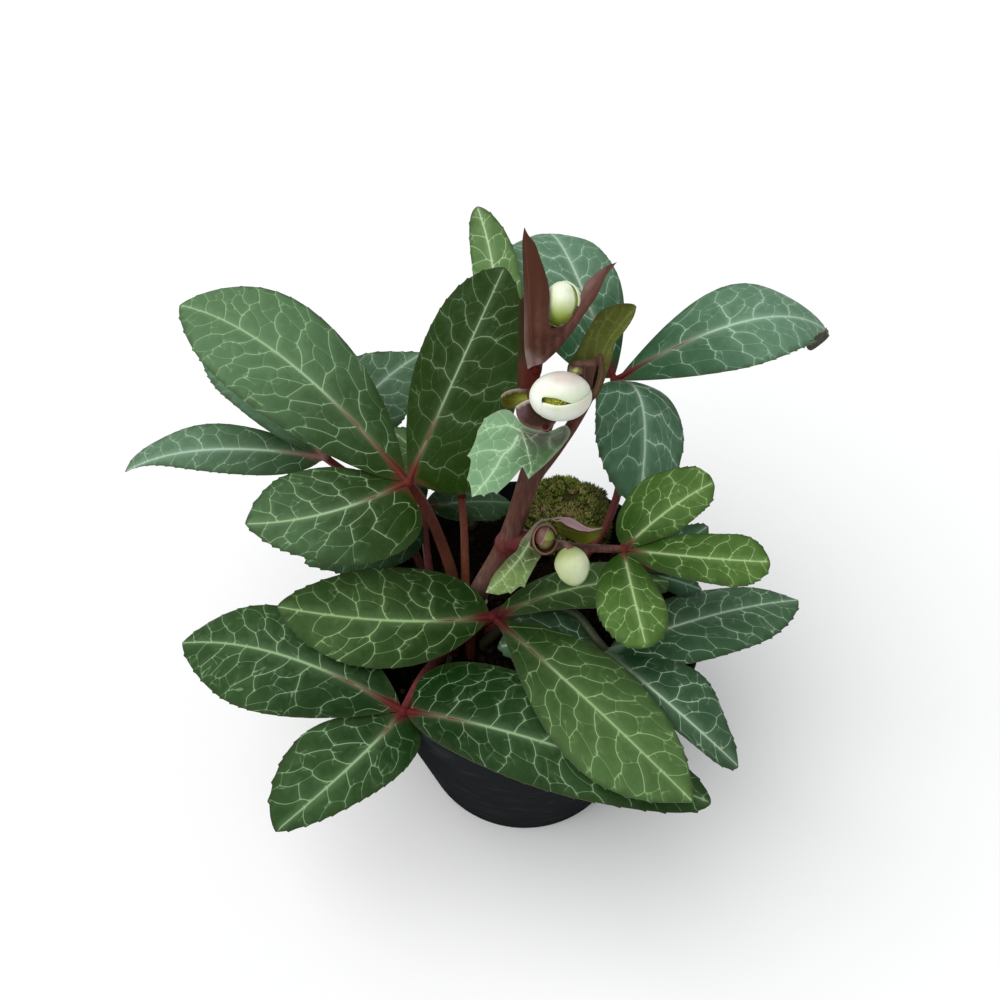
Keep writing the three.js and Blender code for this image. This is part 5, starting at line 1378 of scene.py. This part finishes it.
def moss_point(u, v):
    """A low flat-topped cushion, squarish in plan, pressed against the wall of the pot."""
    turn = u * 2 * math.pi
    lump = 1 + 0.03 * np.sin(3 * turn + 7 * v) + 0.03 * np.sin(5 * turn - 4 * v + 1)
    wide = np.sin(v * math.pi / 2) ** 0.7 * lump
    square = np.maximum(np.abs(np.cos(turn)), np.abs(np.sin(turn))) ** 0.6
    x = MOSS[0] + MOSS_HALF[0] * wide * np.cos(turn) / square
    y = MOSS[1] + MOSS_HALF[1] * wide * np.sin(turn) / square
    press = np.minimum(1, MOSS_REACH / np.hypot(x, y))
    rise = (1 - v ** 5) * (0.4 + 0.6 * lump)
    return np.stack([x * press, y * press, SOIL_Z + 2 + MOSS_HALF[2] * rise], -1)


def moss_material():
    n = Nodes("moss")
    colour = n.mix(n.ramp(n.noise(300, 3), 0.35, 0.7), (0.075, 0.13, 0.012), (0.3, 0.38, 0.06))
    colour = n.mix(n.value("tan"), colour, (0.46, 0.34, 0.17))
    colour = n.mix(n.value("deep"), colour, (0.05, 0.055, 0.014))
    n.set(Base_Color=colour, Roughness=0.8)
    n.shader.inputs["Specular IOR Level"].default_value = 0.1
    n.set(Normal=n.bump(n.noise(1500, 3), 0.5, 0.0006))
    return n.material


def make_moss():
    """A dark cushion covered with tufts; tips that would pass through the wall of the pot are left out."""
    shell = Shell()
    rng = np.random.default_rng(11)
    around, rings = 56, 26
    u, v = np.meshgrid(np.arange(around) / around, np.linspace(0.05, 1, rings), indexing="xy")
    p = moss_point(u.ravel(), v.ravel())
    p += rng.normal(0, 0.35, p.shape) * (p[:, 2:] > SOIL_Z + 3)
    ends = [moss_point(np.array(0.0), np.array(0.0)), (*MOSS, SOIL_Z - 5)]
    shell.add(np.concatenate([p, ends]), ring_faces(rings, around, downward=True), deep=1.0)
    for _ in range(MOSS_TUFTS):
        v = 0.06 + 0.9 * rng.random() ** 0.8
        u = rng.random()
        at = moss_point(np.array(u), np.array(v))
        out = unit(at - arr((*MOSS, SOIL_Z + 4)))
        tan = 1.0 if rng.random() < 0.16 + 0.3 * (np.sin(9 * u + 5 * v) > 0.6) else 0.2 * rng.random()
        for _ in range(TUFT_TIPS):
            way = unit(out + rng.normal(0, 0.75, 3))
            side = unit(np.cross(way, rng.normal(0, 1, 3)))
            long, wide = 1.5 + 1.3 * rng.random(), 0.28 + 0.2 * rng.random()
            back = np.cross(way, side)
            middle, tip = at + way * long * 0.45, at + way * long + back * 0.25 * long
            if any(math.hypot(x, y) > TUFT_REACH and z < POT_H + 0.5 for x, y, z in (middle, tip)):
                continue
            corners = [at - out * 0.4, middle + side * wide, middle - side * wide,
                       middle + back * wide * 0.6, tip]
            faces = [(0, 2, 3), (0, 3, 1), (0, 1, 2), (4, 3, 2), (4, 1, 3), (4, 2, 1)]
            shell.add(corners, faces, tan=tan, deep=0.6 * float(smooth(26, 31, at[0])))
    shell.make("moss_cushion", moss_material(), "moss", 0)


# ------------------------------------------------------------------ pot and potting mix
def wall_r(z):
    """Outer radius of the pot's wall below its rim band."""
    return POT_BASE_R + (POT_RIM_R - RIM_STEP - POT_BASE_R) * z / (POT_H - RIM_BAND)


def pot_material():
    n = Nodes("pot_plastic")
    scuff = n.ramp(n.noise(70, 4, 0.6, n.scaled(n.place(), (1, 1, 3.0))), 0.5, 0.75)
    colour = n.mix(scuff, (0.016, 0.0178, 0.0185), (0.028, 0.031, 0.032))
    dust = n.ramp(n.noise(480, 3, 0.7), 0.62, 0.8, 0, 0.12)
    colour = n.mix(dust, colour, (0.05, 0.045, 0.04))
    n.set(Base_Color=colour, Roughness=n.ramp(n.noise(60, 3), 0.3, 0.7, 0.3, 0.38))
    n.set(Normal=n.bump(n.noise(1400, 3, 0.6), 0.06, 0.0002))
    n.shader.inputs["Specular IOR Level"].default_value = 0.0
    return n.material


def make_pot():
    """A profile turned about Z, from the underside up over the rim and down inside, with drain holes."""
    band = POT_H - RIM_BAND
    profile = [(POT_BASE_R - 2.2, 0), (POT_BASE_R - 1.0, 0.25), (wall_r(1.1) - 0.25, 0.8), (wall_r(2), 2)]
    profile += [(wall_r(z), z) for z in np.linspace(6, band - 3, 14)]
    profile += [(wall_r(band) - 0.35, band - 1.2), (wall_r(band) + 0.2, band - 0.5),
                (POT_RIM_R - 0.5, band + 0.3), (POT_RIM_R - 0.12, band + 0.9), (POT_RIM_R, band + 1.8),
                (POT_RIM_R, POT_H - 1.6), (POT_RIM_R - 0.2, POT_H - 0.7),
                (POT_RIM_R - 0.7, POT_H - 0.15), (POT_RIM_R - 1.2, POT_H),
                (POT_RIM_R - 1.8, POT_H - 0.2), (POT_RIM_R - 2.15, POT_H - 0.9), (POT_RIM_R - 2.4, band + 1),
                (wall_r(band) - POT_WALL - 0.5, band - 2), (wall_r(2) - POT_WALL, 2)]
    rings = [circle(r, z, POT_SIDES) for r, z in profile]
    shell = Shell()
    shell.add(np.concatenate([*rings, [(0, 0, 0), (0, 0, 2)]]), ring_faces(len(rings), POT_SIDES))
    material = pot_material()
    pot = shell.make("pot", material, "pot_plastic", POT_SHARP)

    drains = Shell()
    for t in np.arange(DRAIN_COUNT) / DRAIN_COUNT * 2 * math.pi:
        x, y = math.cos(t) * DRAIN_RING, math.sin(t) * DRAIN_RING
        low, high = DRAIN_CUT
        rings = [circle(DRAIN_R, z, DRAIN_SIDES, x, y) for z in DRAIN_CUT]
        drains.add(np.concatenate([*rings, [(x, y, low), (x, y, high)]]), ring_faces(2, DRAIN_SIDES))
    cutter = drains.mesh_object("drain_cutter", material, 0)
    cut = pot.modifiers.new("drains", "BOOLEAN")
    cut.operation, cut.object, cut.solver = "DIFFERENCE", cutter, "EXACT"
    bpy.context.view_layer.update()
    drained = bpy.data.meshes.new_from_object(pot.evaluated_get(bpy.context.evaluated_depsgraph_get()))
    pot.modifiers.clear()
    pot.data = drained
    drained.set_sharp_from_angle(angle=math.radians(POT_SHARP))
    bpy.data.objects.remove(cutter)


def soil_height(x, y):
    """Surface of the mix, heaped a little round the crown."""
    far = np.hypot(x - CROWN[0], y - CROWN[1])
    heap = SOIL_RISE * np.exp(-((far / 26) ** 2)) - 0.6
    lumps = np.sin(x * 0.21 + 1) * np.cos(y * 0.19) + 0.7 * np.sin(x * 0.47 - y * 0.53)
    return SOIL_Z + heap + 0.7 * lumps


def soil_material():
    n = Nodes("potting_mix")
    # The mix is coloured near black: partly its own dark colour and partly painted deep shade under the leaves
    # of the crown.
    colour = n.mix(n.ramp(n.noise(500, 5, 0.7), 0.35, 0.7), (0.003, 0.002, 0.0012), (0.018, 0.011, 0.006))
    colour = n.mix(n.value("pale"), colour, (0.09, 0.07, 0.05))
    n.set(Base_Color=colour, Roughness=0.92)
    n.set(Normal=n.bump(n.noise(1300, 4, 0.7), 0.8, 0.0012))
    n.shader.inputs["Specular IOR Level"].default_value = 0.05
    return n.material


def make_soil():
    """The body of the mix with its rough surface, and loose crumbs on it that keep clear of stems and moss."""
    shell = Shell()
    rng = np.random.default_rng(23)
    around, rings = 180, 60
    edge = wall_r(POT_H - RIM_BAND) - POT_WALL - 1.2
    foot = wall_r(2.4) - POT_WALL - 0.6
    surface = np.concatenate([circle(r, 0, around) for r in np.linspace(edge / rings, edge, rings)])
    x, y = surface[:, 0], surface[:, 1]
    z = soil_height(x, y) + rng.normal(0, 0.32, x.shape) + 0.4 * np.sin(x * 1.7) * np.sin(y * 1.9)
    surface[:, 2] = np.minimum(z, SOIL_Z + 3.4)
    ends = [(0, 0, float(soil_height(0, 0))), (0, 0, 2.5)]
    verts = np.concatenate([surface, circle(edge - 0.2, SOIL_Z - 4, around), circle(foot, 2.5, around), ends])
    shell.add(verts, ring_faces(rings + 2, around, downward=True))
    stems = [CROWN, SHOOT] + [stalk_foot(leaf["ring"]) for leaf in LEAVES.values()]
    for k in range(CRUMBS):
        t, q = rng.random() * 2 * math.pi, math.sqrt(rng.random()) * (edge - 2.5)
        x, y = q * math.cos(t), q * math.sin(t)
        if min(math.dist((x, y), stem) for stem in stems) < 3.5 or math.dist((x, y), MOSS) < 11:
            continue
        size = 0.5 + 1.4 * rng.random() ** 2
        pale = 1.0 if rng.random() < 0.05 else 0.25 * rng.random()
        half = size * (0.6 + 0.8 * rng.random(3))
        z = float(soil_height(x, y)) + 0.25 * size
        ball(shell, (x, y, z), rng.normal(0, 1, 3), half, 6, 8, bumps=0.16, seed=k, pale=pale)
    shell.make("potting_mix", soil_material(), "potting_mix", 0)


# ------------------------------------------------------------------ the whole plant
for number, (name, leaf) in enumerate(LEAVES.items()):
    make_leaf(number, name, leaf)
    make_stalk(name, leaf)
make_stem()
make_stem_leaf()
for name, bract in BRACTS.items():
    make_bract(name, bract)
make_main_bud()
make_heart()
make_closed_bud("bud_upper", UPPER_BUD, UPPER_SEPALS,
                sepal_material("bud_green", (0.8, 0.87, 0.66), (0.3, 0.38, 0.045)))
make_closed_bud("bud_lower", LOWER_BUD, LOWER_SEPALS,
                sepal_material("bud_pale", (0.64, 0.7, 0.45), (0.33, 0.4, 0.14)))
make_small_bud()
make_hood()
make_shoot()
make_moss()
make_pot()
make_soil()

# ------------------------------------------------------------------ floor, light and camera
paper = Nodes("floor")
paper.set(Base_Color=(0.9, 0.9, 0.9), Roughness=0.9)
bpy.ops.mesh.primitive_plane_add(size=8, location=(0, 0, -0.0002))
floor = bpy.context.object
floor.name = "floor"
floor.data.materials.append(paper.material)

scene = bpy.context.scene
scene.view_settings.view_transform = "Standard"
world = bpy.data.worlds.new("soft_white")
scene.world = world
world.use_nodes = True
sky = world.node_tree.nodes["Background"]
sky.inputs[0].default_value = (0.94, 0.97, 1.0, 1)
sky.inputs[1].default_value = 0.42

key = bpy.data.lights.new("key", "SUN")
key.energy, key.angle, key.color = 2.7, math.radians(70), (1.0, 0.995, 0.98)
lamp = bpy.data.objects.new("key", key)
scene.collection.objects.link(lamp)
lamp.rotation_euler = Vector((-0.5, -0.2, 1)).to_track_quat("Z", "Y").to_euler()

camera = bpy.data.cameras.new("camera")
camera.lens, camera.sensor_width = 30.6, 36.0
camera.clip_start = 0.01
eye = bpy.data.objects.new("camera", camera)
scene.collection.objects.link(eye)
eye.location = VIEWPOINT * MM
eye.rotation_euler = (math.radians(90 - 47), 0, 0)
scene.camera = eye
